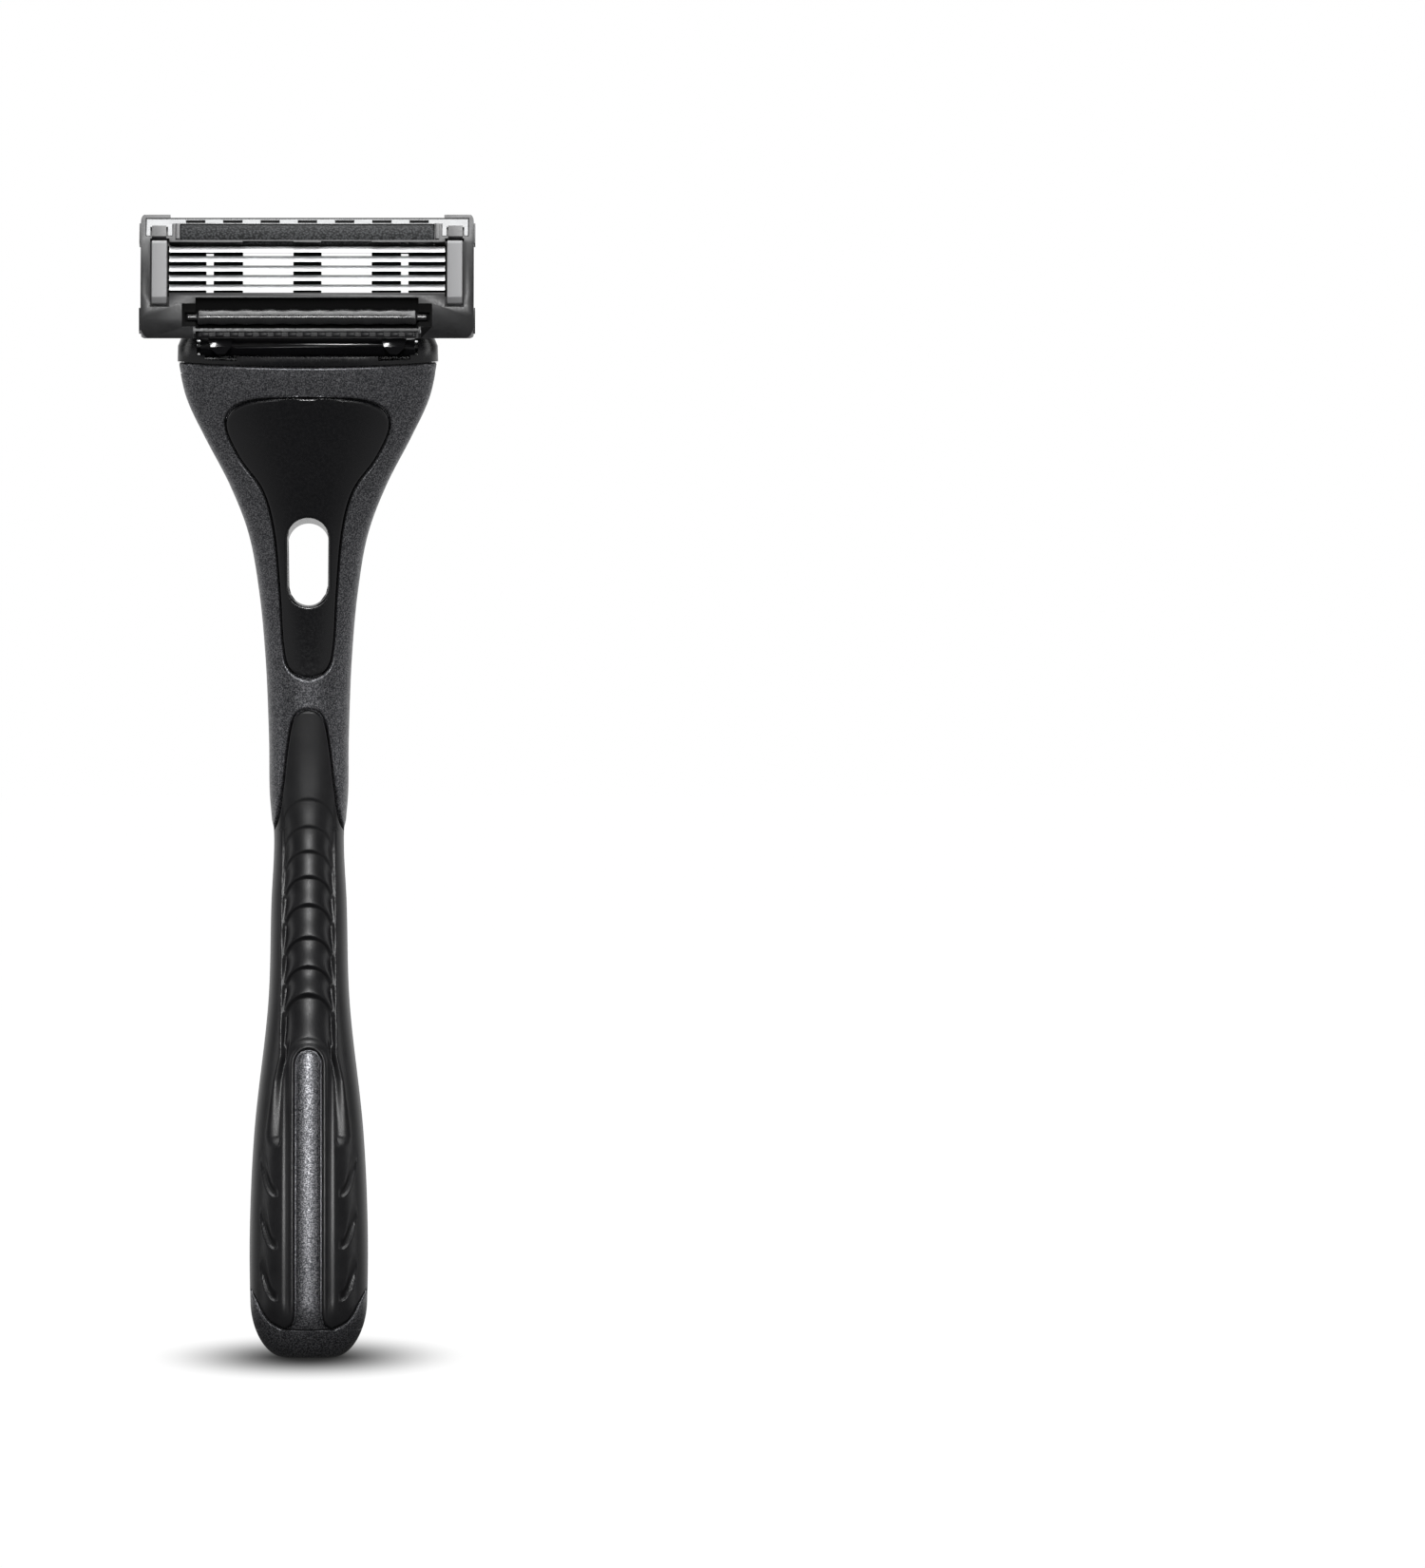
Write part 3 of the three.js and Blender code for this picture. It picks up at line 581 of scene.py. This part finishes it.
def skin(heights, inner, outer, columns, thick, radius, edges=None, relief=None, spread=1.0):
    """Vertices and faces of a skin on the handle between two edges, left and right alike.

    The edges are functions of height, and say how far round from the front centre they are.
    The skin's rim is rounded by a radius, and its relief is how far it stands off the handle.
    """
    inner_runs = np.array([inner(z) for z in heights])
    outer_runs = np.array([outer(z) for z in heights])
    whole = np.array([girth(z) for z in heights])
    if edges is None:
        edges = [np.stack([outer_runs, heights], axis=1)]
        open_rows = inner_runs > 0
        if open_rows.any():
            rows = np.where(open_rows)[0]
            edges.append(np.stack([inner_runs, heights], axis=1)[max(rows[0] - 1, 0):rows[-1] + 2])
    even = np.linspace(0, 1, columns)
    share = spread * (1 - np.cos(math.pi * even)) / 2 + (1 - spread) * even
    top, under = [], []
    for z, start, end in zip(heights, inner_runs, outer_runs):
        runs = start + (end - start) * share
        lift = rounded(edge_distance(runs, z, edges), radius) if radius else np.zeros(columns)
        if relief is not None:
            lift = lift + relief(np.interp(runs, section(z)[2], section(z)[0]), z, runs)
        top.append(place(z, runs, lift))
        if thick:
            under.append(place(z, runs, np.full(columns, -thick)))
    top = np.array(top)
    rows = len(heights)
    index = np.arange(rows * columns).reshape(rows, columns)
    a, b, c, d = index[:-1, :-1], index[:-1, 1:], index[1:, 1:], index[1:, :-1]
    faces = np.stack([a, b, c, d], axis=-1).reshape(-1, 4)
    vertices = top.reshape(-1, 3)
    if thick:
        shift = rows * columns
        vertices = np.vstack([vertices, np.array(under).reshape(-1, 3)])
        sheets = [faces, faces[:, ::-1] + shift]
        for column, has_wall in ((0, inner_runs > 0), (columns - 1, outer_runs < whole - MIDDLE)):
            rise = np.stack([index[:-1, column], index[1:, column], index[1:, column] + shift,
                             index[:-1, column] + shift], axis=-1)
            keep = has_wall[:-1] | has_wall[1:]
            sheets.append(rise[keep])
        faces = np.vstack(sheets)
    count = len(vertices)
    vertices = np.vstack([vertices, vertices * [-1, 1, 1]])
    return vertices, np.vstack([faces, faces[:, ::-1] + count]).tolist()


def joined(*parts):
    """Several (vertices, faces) pairs as one."""
    vertices, faces, count = [], [], 0
    for part_vertices, part_faces in parts:
        vertices.append(part_vertices)
        faces += [[i + count for i in face] for face in part_faces]
        count += len(part_vertices)
    return np.vstack(vertices), faces


# ---------------------------------------------------------------- handle edges


def ends_of(outline):
    """The heights of an outline's bottom and top."""
    return outline[-1][1], outline[0][1]


def slot_edge(z):
    """Half the width of the hanging slot at a height."""
    off = max(SLOT_LOW + SLOT_HALF - z, z - (SLOT_HIGH - SLOT_HALF), 0)
    return math.sqrt(SLOT_HALF * SLOT_HALF - off * off) if off < SLOT_HALF else 0.0


def slot_front(z):
    """The slot's edge in the front surface, or the front centre where there is no slot."""
    return front_run(z, slot_edge(z)) if slot_edge(z) else 0.0


def slot_rear(z):
    """The slot's edge in the rear surface, or the rear centre where there is no slot."""
    return rear_run(z, slot_edge(z)) if slot_edge(z) else girth(z)


def front_edge(outline, grow):
    at = edge_of(grown(spline(outline), grow))
    return lambda z: front_run(z, at(z)) if at(z) > 0 else 0.0


def rear_edge(outline, grow):
    at = edge_of(grown(spline(outline), grow))
    return lambda z: rear_run(z, at(z)) if at(z) > 0 else girth(z)


def grip_outer(grow):
    """The grip's outline, as far round the sides as the grip goes."""
    at = edge_of(grown(spline(GRIP), grow))
    low = FOOT_LOW - grow

    def edge(z):
        if z < low or at(z) <= 0:
            return 0.0
        return min(front_run(z, at(z)), side_run(z, GRIP_FRONT + grow))
    return edge


def grip_inner(grow):
    """The edge of the grip round the bare strip."""
    foot = edge_of(spline(FOOT))
    half = STRIP_HALF - grow

    def edge(z):
        off = z - (STRIP_TOP - STRIP_HALF)
        if off >= half:
            return 0.0
        if off > 0:
            return front_run(z, math.sqrt(half * half - off * off))
        return front_run(z, foot(z) - grow) if z < FOOT_TOP else front_run(z, half)
    return edge


def ease(value, start, end):
    """0 before start, 1 after end, smooth between; start may be above end."""
    t = np.clip((value - start) / (end - start), 0, 1)
    return t * t * (3 - 2 * t)


# Heights of the arched steps down the tongue, and how deep the scallop under each one is.
ARCHES = [(70.5, 0.06), (67.0, 0.1), (63.9, 0.16), (60.7, 0.24), (57.2, 0.3), (53.1, 0.34),
          (49.4, 0.36), (46.0, 0.42), (39.9, 0)]
ARCH_HALF = 3.35
ARCH_DROP = 3.4        # how far a step's ends lie below its middle
ARCH_CROWN = 0.34      # how far the middle of the tongue stands above its sides
FLUTE_DEEP = 0.72      # how deep the groove beside the bare strip is
SCOOP_TIPS = [20.4, 13.8, 7.3]    # heights of the tips of the hooked scoops beside the strip
SCOOP_TALL, SCOOP_WIDE, SCOOP_DEEP = 6.2, 2.0, 0.4
BORDER_DEEP = 0.1      # how far the strip's raised border stands up
RAIL_HIGH = 0.16       # how far the core's rails beside the tongue stand up
STRIP_CROWN = 0.22     # how far the strip's middle stands above its sides


def tongue_relief(x, z):
    """Overlapping scallops down the middle of the grip, each ending in an arched step."""
    side = np.minimum(np.abs(x) / ARCH_HALF, 0.999)
    level = z + ARCH_DROP * (1 - np.sqrt(1 - side**2))
    depth = np.zeros_like(x)
    for (top, deep), (bottom, _) in zip(ARCHES, ARCHES[1:]):
        t = (top - level) / (top - bottom)
        inside = (t > 0) & (t < 1)
        shape = np.minimum(ease(t, 0, 0.1), 1 - ease(t, 0.16, 1.0) ** 1.3)
        depth = np.where(inside, deep * shape, depth)
    channel = (0.08 + ARCH_CROWN * side**1.6) * ease(z, 72, 64) * ease(z, 36.5, 39.5)
    return -(depth + channel) * ease(np.abs(x), ARCH_HALF + 0.2, ARCH_HALF - 0.15)


def flute_relief(x, z):
    """A long tapered groove on each side of the bare strip."""
    across = np.abs(x)
    inner = np.interp(z, [26.5, 27.5, 35, 40.7], [3.75, 3.6, 3.4, 2.5])
    outer = np.interp(z, [26.5, 28, 35, 40.7], [5.1, 5.4, 4.3, 2.7])
    wall = ease(across, inner - 0.18, inner + 0.12)
    slope = ease(across, outer + 0.15, inner + 0.2)
    ends = ease(z, 26.4, 28.2) * ease(z, 40.7, 37)
    return -FLUTE_DEEP * wall * slope * ends


def scoop_relief(x, z):
    """Scoops cut along quarter ellipses that hook inwards and down to their tips."""
    across = np.abs(x)
    depth = np.zeros_like(x)
    for tip in SCOOP_TIPS:
        dx = np.maximum(across - 4.2, 0) / SCOOP_WIDE
        dz = (z - tip - SCOOP_TALL) / SCOOP_TALL
        reach = np.sqrt(dx**2 + dz**2)
        inside = (1 - reach) / np.sqrt((dx / SCOOP_WIDE) ** 2 + (dz / SCOOP_TALL) ** 2 + 1e-4)
        hollow = ease(inside, -0.02, 0.16) * ease(inside, 1.9, 0.2)
        ends = ease(z, tip + 6, tip + 2) * ease(across, 3.7, 4.5)
        depth = np.maximum(depth, SCOOP_DEEP * hollow * ends)
    return -depth


def border_relief(x, z):
    """A faint raised border round the bare strip."""
    off = np.maximum(z - (STRIP_TOP - STRIP_HALF), 0)
    away = np.hypot(x, off) - STRIP_HALF
    return -BORDER_DEEP * ease(away, 0.45, 0.75) * ease(away, 1.6, 1.1) * ease(z, 5, 8)


def grip_relief(x, z, runs):
    return tongue_relief(x, z) + flute_relief(x, z) + scoop_relief(x, z) + border_relief(x, z)


def core_relief(x, z, runs):
    """Rounds the core's rim, and lifts the graphite rails beside the tongue where they end."""
    rail = ease(z, 66.4, 67.6) * ease(z, 79, 70) * ease(np.abs(x), 2.6, 3.6) * (runs < side_run(z, 1))
    rim = rounded(np.full_like(x, CORE_TOP - z), RIM_EDGE)
    return RAIL_HIGH * rail + rim


def strip_relief(x, z, runs):
    return -STRIP_CROWN * (x / STRIP_HALF) ** 2


def floor_relief(x, z, runs):
    """The core's surface under the skins."""
    return np.full_like(x, -SKIN + SHRINK)


# ---------------------------------------------------------------- handle pieces

SLOT_DRAFT, SLOT_TOP_DRAFT = 0.12, 0.9    # how far the slot's sides and top close in to the back
SLOT_OUT = 0.03        # how far the slot's wall stands back from the inlay's edge
SLOT_RECESS = 0.3      # how far the wall starts and ends inside the surface
SPIGOT_INSET = 0.7     # how far inside the core's rim its spigot stands
CLEARANCE = 0.01       # what is left between the spigot and the collar
LOOP_STEP = 6          # a closed section keeps one point in so many


def bands(count, rings=2):
    """The faces between rings of points that follow one another."""
    faces = []
    for first in range(0, (rings - 1) * count, count):
        for i in range(count):
            k = (i + 1) % count
            faces.append([first + i, first + k, first + k + count, first + i + count])
    return faces


def section_loop(z, inset=0.0):
    """The handle's section at a height as a closed line."""
    xs, ys, _ = section(z)
    x = xs * (1 - inset / xs.max())
    right = np.stack([x, ys + inset * np.cos(TURN), z + bend(xs, z)], axis=1)[::LOOP_STEP]
    return np.vstack([right, (right * [-1, 1, 1])[1:-1][::-1]])


def spigot():
    """Closes the seam under the collar from inside."""
    loop = section_loop(CORE_TOP, SPIGOT_INSET)
    raised = loop + [0, 0, COLLAR_GAP - CLEARANCE]
    return joined((np.vstack([loop, raised]), bands(len(loop))), opened(raised))


def opened(loop):
    """A flat face inside a loop, with the opening of the core's chamber left out of it."""
    low_x, high_x, low_y, high_y = CHAMBER
    centre = np.array([(low_x + high_x) / 2, (low_y + high_y) / 2])
    half = np.array([high_x - low_x, high_y - low_y]) / 2
    arms = loop[:, :2] - centre
    share = 1 / np.max(np.abs(arms) / half, axis=1, keepdims=True)
    rim = np.hstack([centre + arms * share, loop[:, 2:]])
    return np.vstack([loop, rim]), bands(len(loop))


def pieces_of(line, wanted):
    """The runs of neighbouring points of a line that are wanted."""
    found, start = [], None
    for i, use in enumerate([*wanted, False]):
        if use and start is None:
            start = i
        if not use and start is not None:
            found.append(line[max(start - 1, 0):i])
            start = None
    return found


def butt_face():
    loop = section_loop(0)
    return loop, [range(len(loop))]


def line_of(edge, rows):
    """The points of an edge, as how far round it is and its height."""
    return np.array([(edge(z), z) for z in rows])


def short_of_middle(line):
    """The stretches of an edge line that don't run down the middle of the back."""
    whole = np.array([girth(z) for z in line[:, 1]])
    return pieces_of(line, line[:, 0] < whole - MIDDLE)


def core_rows():
    """Heights for the core, closer together in the rounded butt and by the skins' ends."""
    marks = [*ends_of(INLAY), *ends_of(COVER), *ends_of(REAR_PAD), GRIP[0][1],
             STRIP_TOP, FOOT_LOW, SLOT_LOW, SLOT_HIGH]
    butt_rows = BUTT_ROUND * (1 - np.cos(np.linspace(0, math.pi / 2, 22)))
    return np.unique(np.round([*butt_rows, *heights_between(0, CORE_TOP, 0.5, marks)], 4))


def core_side():
    """What shows of the core between the front skins and the rear ones."""
    front_skins = [front_edge(INLAY, GAP), grip_outer(GAP)]
    rear_skins = [rear_edge(COVER, GAP), rear_edge(REAR_PAD, GAP)]

    def inner(z):
        return max(edge(z) for edge in front_skins)

    def outer(z):
        return min(edge(z) for edge in rear_skins)
    rows = core_rows()
    inner_line = line_of(inner, rows)
    edges = pieces_of(inner_line, inner_line[:, 0] > 0) + short_of_middle(line_of(outer, rows))
    return skin(rows, inner, outer, 44, SKIN, CORE_EDGE, edges, relief=core_relief)


def bare_strip():
    """What shows of the core within the grip."""
    rows = heights_between(FOOT_LOW, STRIP_TOP - GAP, 0.5)
    edge = grip_inner(GAP)
    return skin(rows, lambda z: 0.0, edge, 12, SKIN, CORE_EDGE, [line_of(edge, rows)], relief=strip_relief)


def handle_core():
    floor_rows = heights_between(0, CORE_TOP, 1.0, [SLOT_LOW, SLOT_HIGH])
    floor = skin(floor_rows, slot_front, slot_rear, 40, 0, 0, relief=floor_relief)
    top = opened(section_loop(CORE_TOP))
    vertices, faces = joined(core_side(), bare_strip(), floor, spigot(), top, butt_face())
    piece = make("handle_core_look", vertices, faces, GRAPHITE, "handle")
    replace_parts(piece, "handle_core")


def slot_wall():
    """The wall of the hanging slot, from the front surface to the back."""
    turns = np.linspace(0, 2 * math.pi, 96, endpoint=False)
    steps = np.linspace(0, 1, 13)
    rings = []
    for step in steps:
        half = SLOT_HALF + SLOT_OUT - SLOT_DRAFT * step
        high, low = SLOT_HIGH + SLOT_OUT - SLOT_TOP_DRAFT * step, SLOT_LOW - SLOT_OUT
        x = half * np.cos(turns)
        z = (low + high) / 2 + half * np.sin(turns) + ((high - low) / 2 - half) * np.sign(np.sin(turns))
        loop = []
        for px, pz in zip(x, z):
            _, ys, run = section(pz)
            front = np.interp(front_run(pz, abs(px)), run, ys) + SLOT_RECESS
            back = np.interp(rear_run(pz, abs(px)), run, ys) - SLOT_RECESS
            loop.append((px, front + (back - front) * step, pz))
        rings.append(loop)
    return np.array(rings).reshape(-1, 3), bands(len(turns), len(steps))


def front_inlay():
    low, high = ends_of(INLAY)
    rows = heights_between(low + SHRINK, high - SHRINK, 0.4, [SLOT_LOW, SLOT_HIGH])
    sheet = skin(rows, slot_front, front_edge(INLAY, -SHRINK), 30, SKIN, EDGE)
    vertices, faces = joined(sheet, slot_wall())
    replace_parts(make("front_inlay_look", vertices, faces, SATIN, "handle"), "front_inlay")


def front_grip():
    rows = heights_between(FOOT_LOW + SHRINK, GRIP[0][1] - SHRINK, 0.16, [STRIP_TOP])
    vertices, faces = skin(rows, grip_inner(-SHRINK), grip_outer(-SHRINK), 64, SKIN, EDGE,
                           relief=grip_relief, spread=0.5)
    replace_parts(make("front_grip_look", vertices, faces, RUBBER, "handle"), "front_grip")


def rear_skin(rows, inner, outer, columns):
    """A skin on the back, with no seam down its middle, where its two halves meet."""
    edges = [line_of(inner, rows)] + short_of_middle(line_of(outer, rows))
    return skin(rows, inner, outer, columns, SKIN, EDGE, edges)


def rear_cover():
    low, high = ends_of(COVER)
    marks = [SLOT_LOW, SLOT_HIGH, BUTTON_LOW, BUTTON_HIGH]
    rows = heights_between(low + SHRINK, high - SHRINK, 0.4, marks)

    def inside(z):
        return rear_run(z, BUTTON_HALF) if BUTTON_LOW < z < BUTTON_HIGH else slot_rear(z)
    vertices, faces = rear_skin(rows, rear_edge(COVER, -SHRINK), inside, 30)
    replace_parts(make("rear_cover_look", vertices, faces, SATIN, "handle"), "rear_cover")


def rear_grip():
    low, high = ends_of(REAR_PAD)
    rows = heights_between(low + SHRINK, high - SHRINK, 0.3)
    vertices, faces = rear_skin(rows, rear_edge(REAR_PAD, -SHRINK), girth, 24)
    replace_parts(make("rear_grip_look", vertices, faces, RUBBER, "handle"), "rear_grip")


handle_core()
front_inlay()
front_grip()
rear_cover()
rear_grip()

# ---------------------------------------------------------------- head and cartridge

# The roller bay and the blade pocket, measured from the cartridge's centre: their half widths,
# how high up the face they start and end, and how far below the face their inside starts.
BAY_HALF, BAY_LOW, BAY_HIGH, BAY_SKIN = 15.8, -8.05, -3.6, 0.45
POCKET_HALF, POCKET_LOW, POCKET_HIGH, POCKET_SKIN = 17.6, -3.4, 3.6, 0.3
HOLLOW_DEPTH = 4.6     # how deep both are at most
GUARD_TOP, GUARD_SLOPE = -3.45, 0.32    # where the guard starts to slope, and how much


def bent(point):
    """The collar's lower edge follows the curved parting line."""
    return point + Vector((0, 0, bend(point.x / MM, point.z / MM) * MM))


def paint_shade_in_hollows(piece):
    """Paints shade on the faces that lie inside the roller bay and the blade pocket, by giving them the
    darker, matt copy of the cartridge plastic.
    """
    piece.data.materials.append(HOLLOW_SHADE)
    for polygon in piece.data.polygons:
        x, y, z = polygon.center / MM
        y, z = y - CENTRE_Y, z - CENTRE_Z
        deep = y * math.cos(TILT) - z * math.sin(TILT)
        up = y * math.sin(TILT) + z * math.cos(TILT)
        under_guard = deep + (up - GUARD_TOP) * GUARD_SLOPE > BAY_SKIN
        in_bay = abs(x) < BAY_HALF and BAY_LOW < up < BAY_HIGH and under_guard
        in_pocket = abs(x) < POCKET_HALF and POCKET_LOW < up < POCKET_HIGH and deep > POCKET_SKIN
        # Painted shade: faces in the hollows get the darker copy of the plastic.
        if (in_bay or in_pocket) and deep < HOLLOW_DEPTH:
            polygon.material_index = 1


def head_pieces():
    bevelled("head_collar", 0.25, SATIN, 3, shape=bent)
    bevelled("cradle", 0.2, GLOSS, 3)
    bevelled("release_button", 0.3, SATIN, 3)


def cartridge_pieces():
    paint_shade_in_hollows(bevelled("cartridge_frame", 0.1, CARTRIDGE, whole_faces=False))
    bevelled("cap_bar", 0.06, BAR, 1, whole_faces=False)
    bevelled("lube_strip", 0.12, STRIP)
    for number in range(1, 6):
        bevelled(f"blade_{number}", 0.02, BLADE, 1)
        bevelled(f"blade_bracket_{number}", 0.05, SPRING)
    bevelled("end_strap_left", 0.12, STRAP, 3)
    bevelled("end_strap_right", 0.12, STRAP, 3)
    bevelled("fin_guard", 0.12, FIN_RUBBER)
    bevelled("guard_roller", 0.22, ROLLER, 4)


def inner_works():
    """The small parts inside the head, which hardly show."""
    for node, look in (("pivot_pin", STEEL), ("plunger", GLOSS), ("plunger_spring", SPRING),
                       ("ejector_slide", GLOSS), ("release_spring", SPRING)):
        bevelled(node, 0.05, look)


head_pieces()
cartridge_pieces()
inner_works()

# ---------------------------------------------------------------- stage, light and camera


def stage():
    """The floor, four metres square."""
    size = 2.0
    corners = [(-size, -size, 0), (size, -size, 0), (size, size, 0), (-size, size, 0)]
    mesh = bpy.data.meshes.new("floor")
    mesh.from_pydata(corners, [], [(0, 1, 2, 3)])
    floor = bpy.data.objects.new("floor", mesh)
    bpy.context.scene.collection.objects.link(floor)
    mesh.materials.append(floor_look())


def softbox(name, place, aim, size, power):
    """A white rectangular light of a size in metres, turned to an aim."""
    data = bpy.data.lights.new(name, "AREA")
    data.shape = "RECTANGLE"
    data.size, data.size_y = size
    data.energy = power
    light = bpy.data.objects.new(name, data)
    bpy.context.scene.collection.objects.link(light)
    light.location = place
    light.rotation_euler = (Vector(aim) - Vector(place)).to_track_quat("-Z", "Y").to_euler()


def world():
    """White behind the object, and an even grey studio in what it reflects."""
    scene_world = bpy.data.worlds.new("studio")
    bpy.context.scene.world = scene_world
    scene_world.use_nodes = True
    nodes, links = scene_world.node_tree.nodes, scene_world.node_tree.links
    nodes.clear()
    output = nodes.new("ShaderNodeOutputWorld")
    mix = nodes.new("ShaderNodeMixShader")
    path = nodes.new("ShaderNodeLightPath")
    studio, backdrop = nodes.new("ShaderNodeBackground"), nodes.new("ShaderNodeBackground")
    place = nodes.new("ShaderNodeTexCoord")
    parts = nodes.new("ShaderNodeSeparateXYZ")
    behind = nodes.new("ShaderNodeValToRGB")
    behind.color_ramp.elements[0].position = 0.1
    behind.color_ramp.elements[1].position = 0.95
    behind.color_ramp.elements[0].color = (0.03, 0.03, 0.03, 1)
    behind.color_ramp.elements[1].color = (0.9, 0.9, 0.9, 1)
    links.new(place.outputs["Generated"], parts.inputs["Vector"])
    links.new(parts.outputs["Y"], behind.inputs["Fac"])
    links.new(behind.outputs["Color"], studio.inputs["Color"])
    backdrop.inputs["Color"].default_value = (1, 1, 1, 1)
    backdrop.inputs["Strength"].default_value = 1.0
    links.new(path.outputs["Is Camera Ray"], mix.inputs["Fac"])
    links.new(studio.outputs["Background"], mix.inputs[1])
    links.new(backdrop.outputs["Background"], mix.inputs[2])
    links.new(mix.outputs["Shader"], output.inputs["Surface"])


def camera():
    """Looks at the front from a little above, with the razor left of the picture's middle."""
    aim = Vector((50.89, -5, 72.4)) * MM
    distance = 4.0
    rise = math.radians(2)
    seen_height = 197.2 * MM
    data = bpy.data.cameras.new("camera")
    data.sensor_fit = "VERTICAL"
    data.sensor_height = 36
    data.lens = data.sensor_height * distance / seen_height
    data.clip_end = 20
    eye = bpy.data.objects.new("camera", data)
    bpy.context.scene.collection.objects.link(eye)
    eye.location = aim + Vector((0, -math.cos(rise), math.sin(rise))) * distance
    eye.rotation_euler = (aim - eye.location).to_track_quat("-Z", "Y").to_euler()
    bpy.context.scene.camera = eye


# Strips of light at the sides and in front, and a large panel over the top.
stage()
world()
camera()
softbox("side_left", (-0.8, -0.15, 0.2), (0, 0, 0.08), (0.25, 0.8), 1.2)
softbox("side_right", (0.8, -0.15, 0.2), (0, 0, 0.08), (0.25, 0.8), 1.2)
softbox("front", (0, -1.6, 0.43), (0, 0, 0.05), (0.12, 0.42), 13.0)
softbox("top", (0, 0.05, 0.7), (0, 0, 0.13), (0.7, 1.1), 12)
bpy.context.scene.view_settings.view_transform = "Standard"
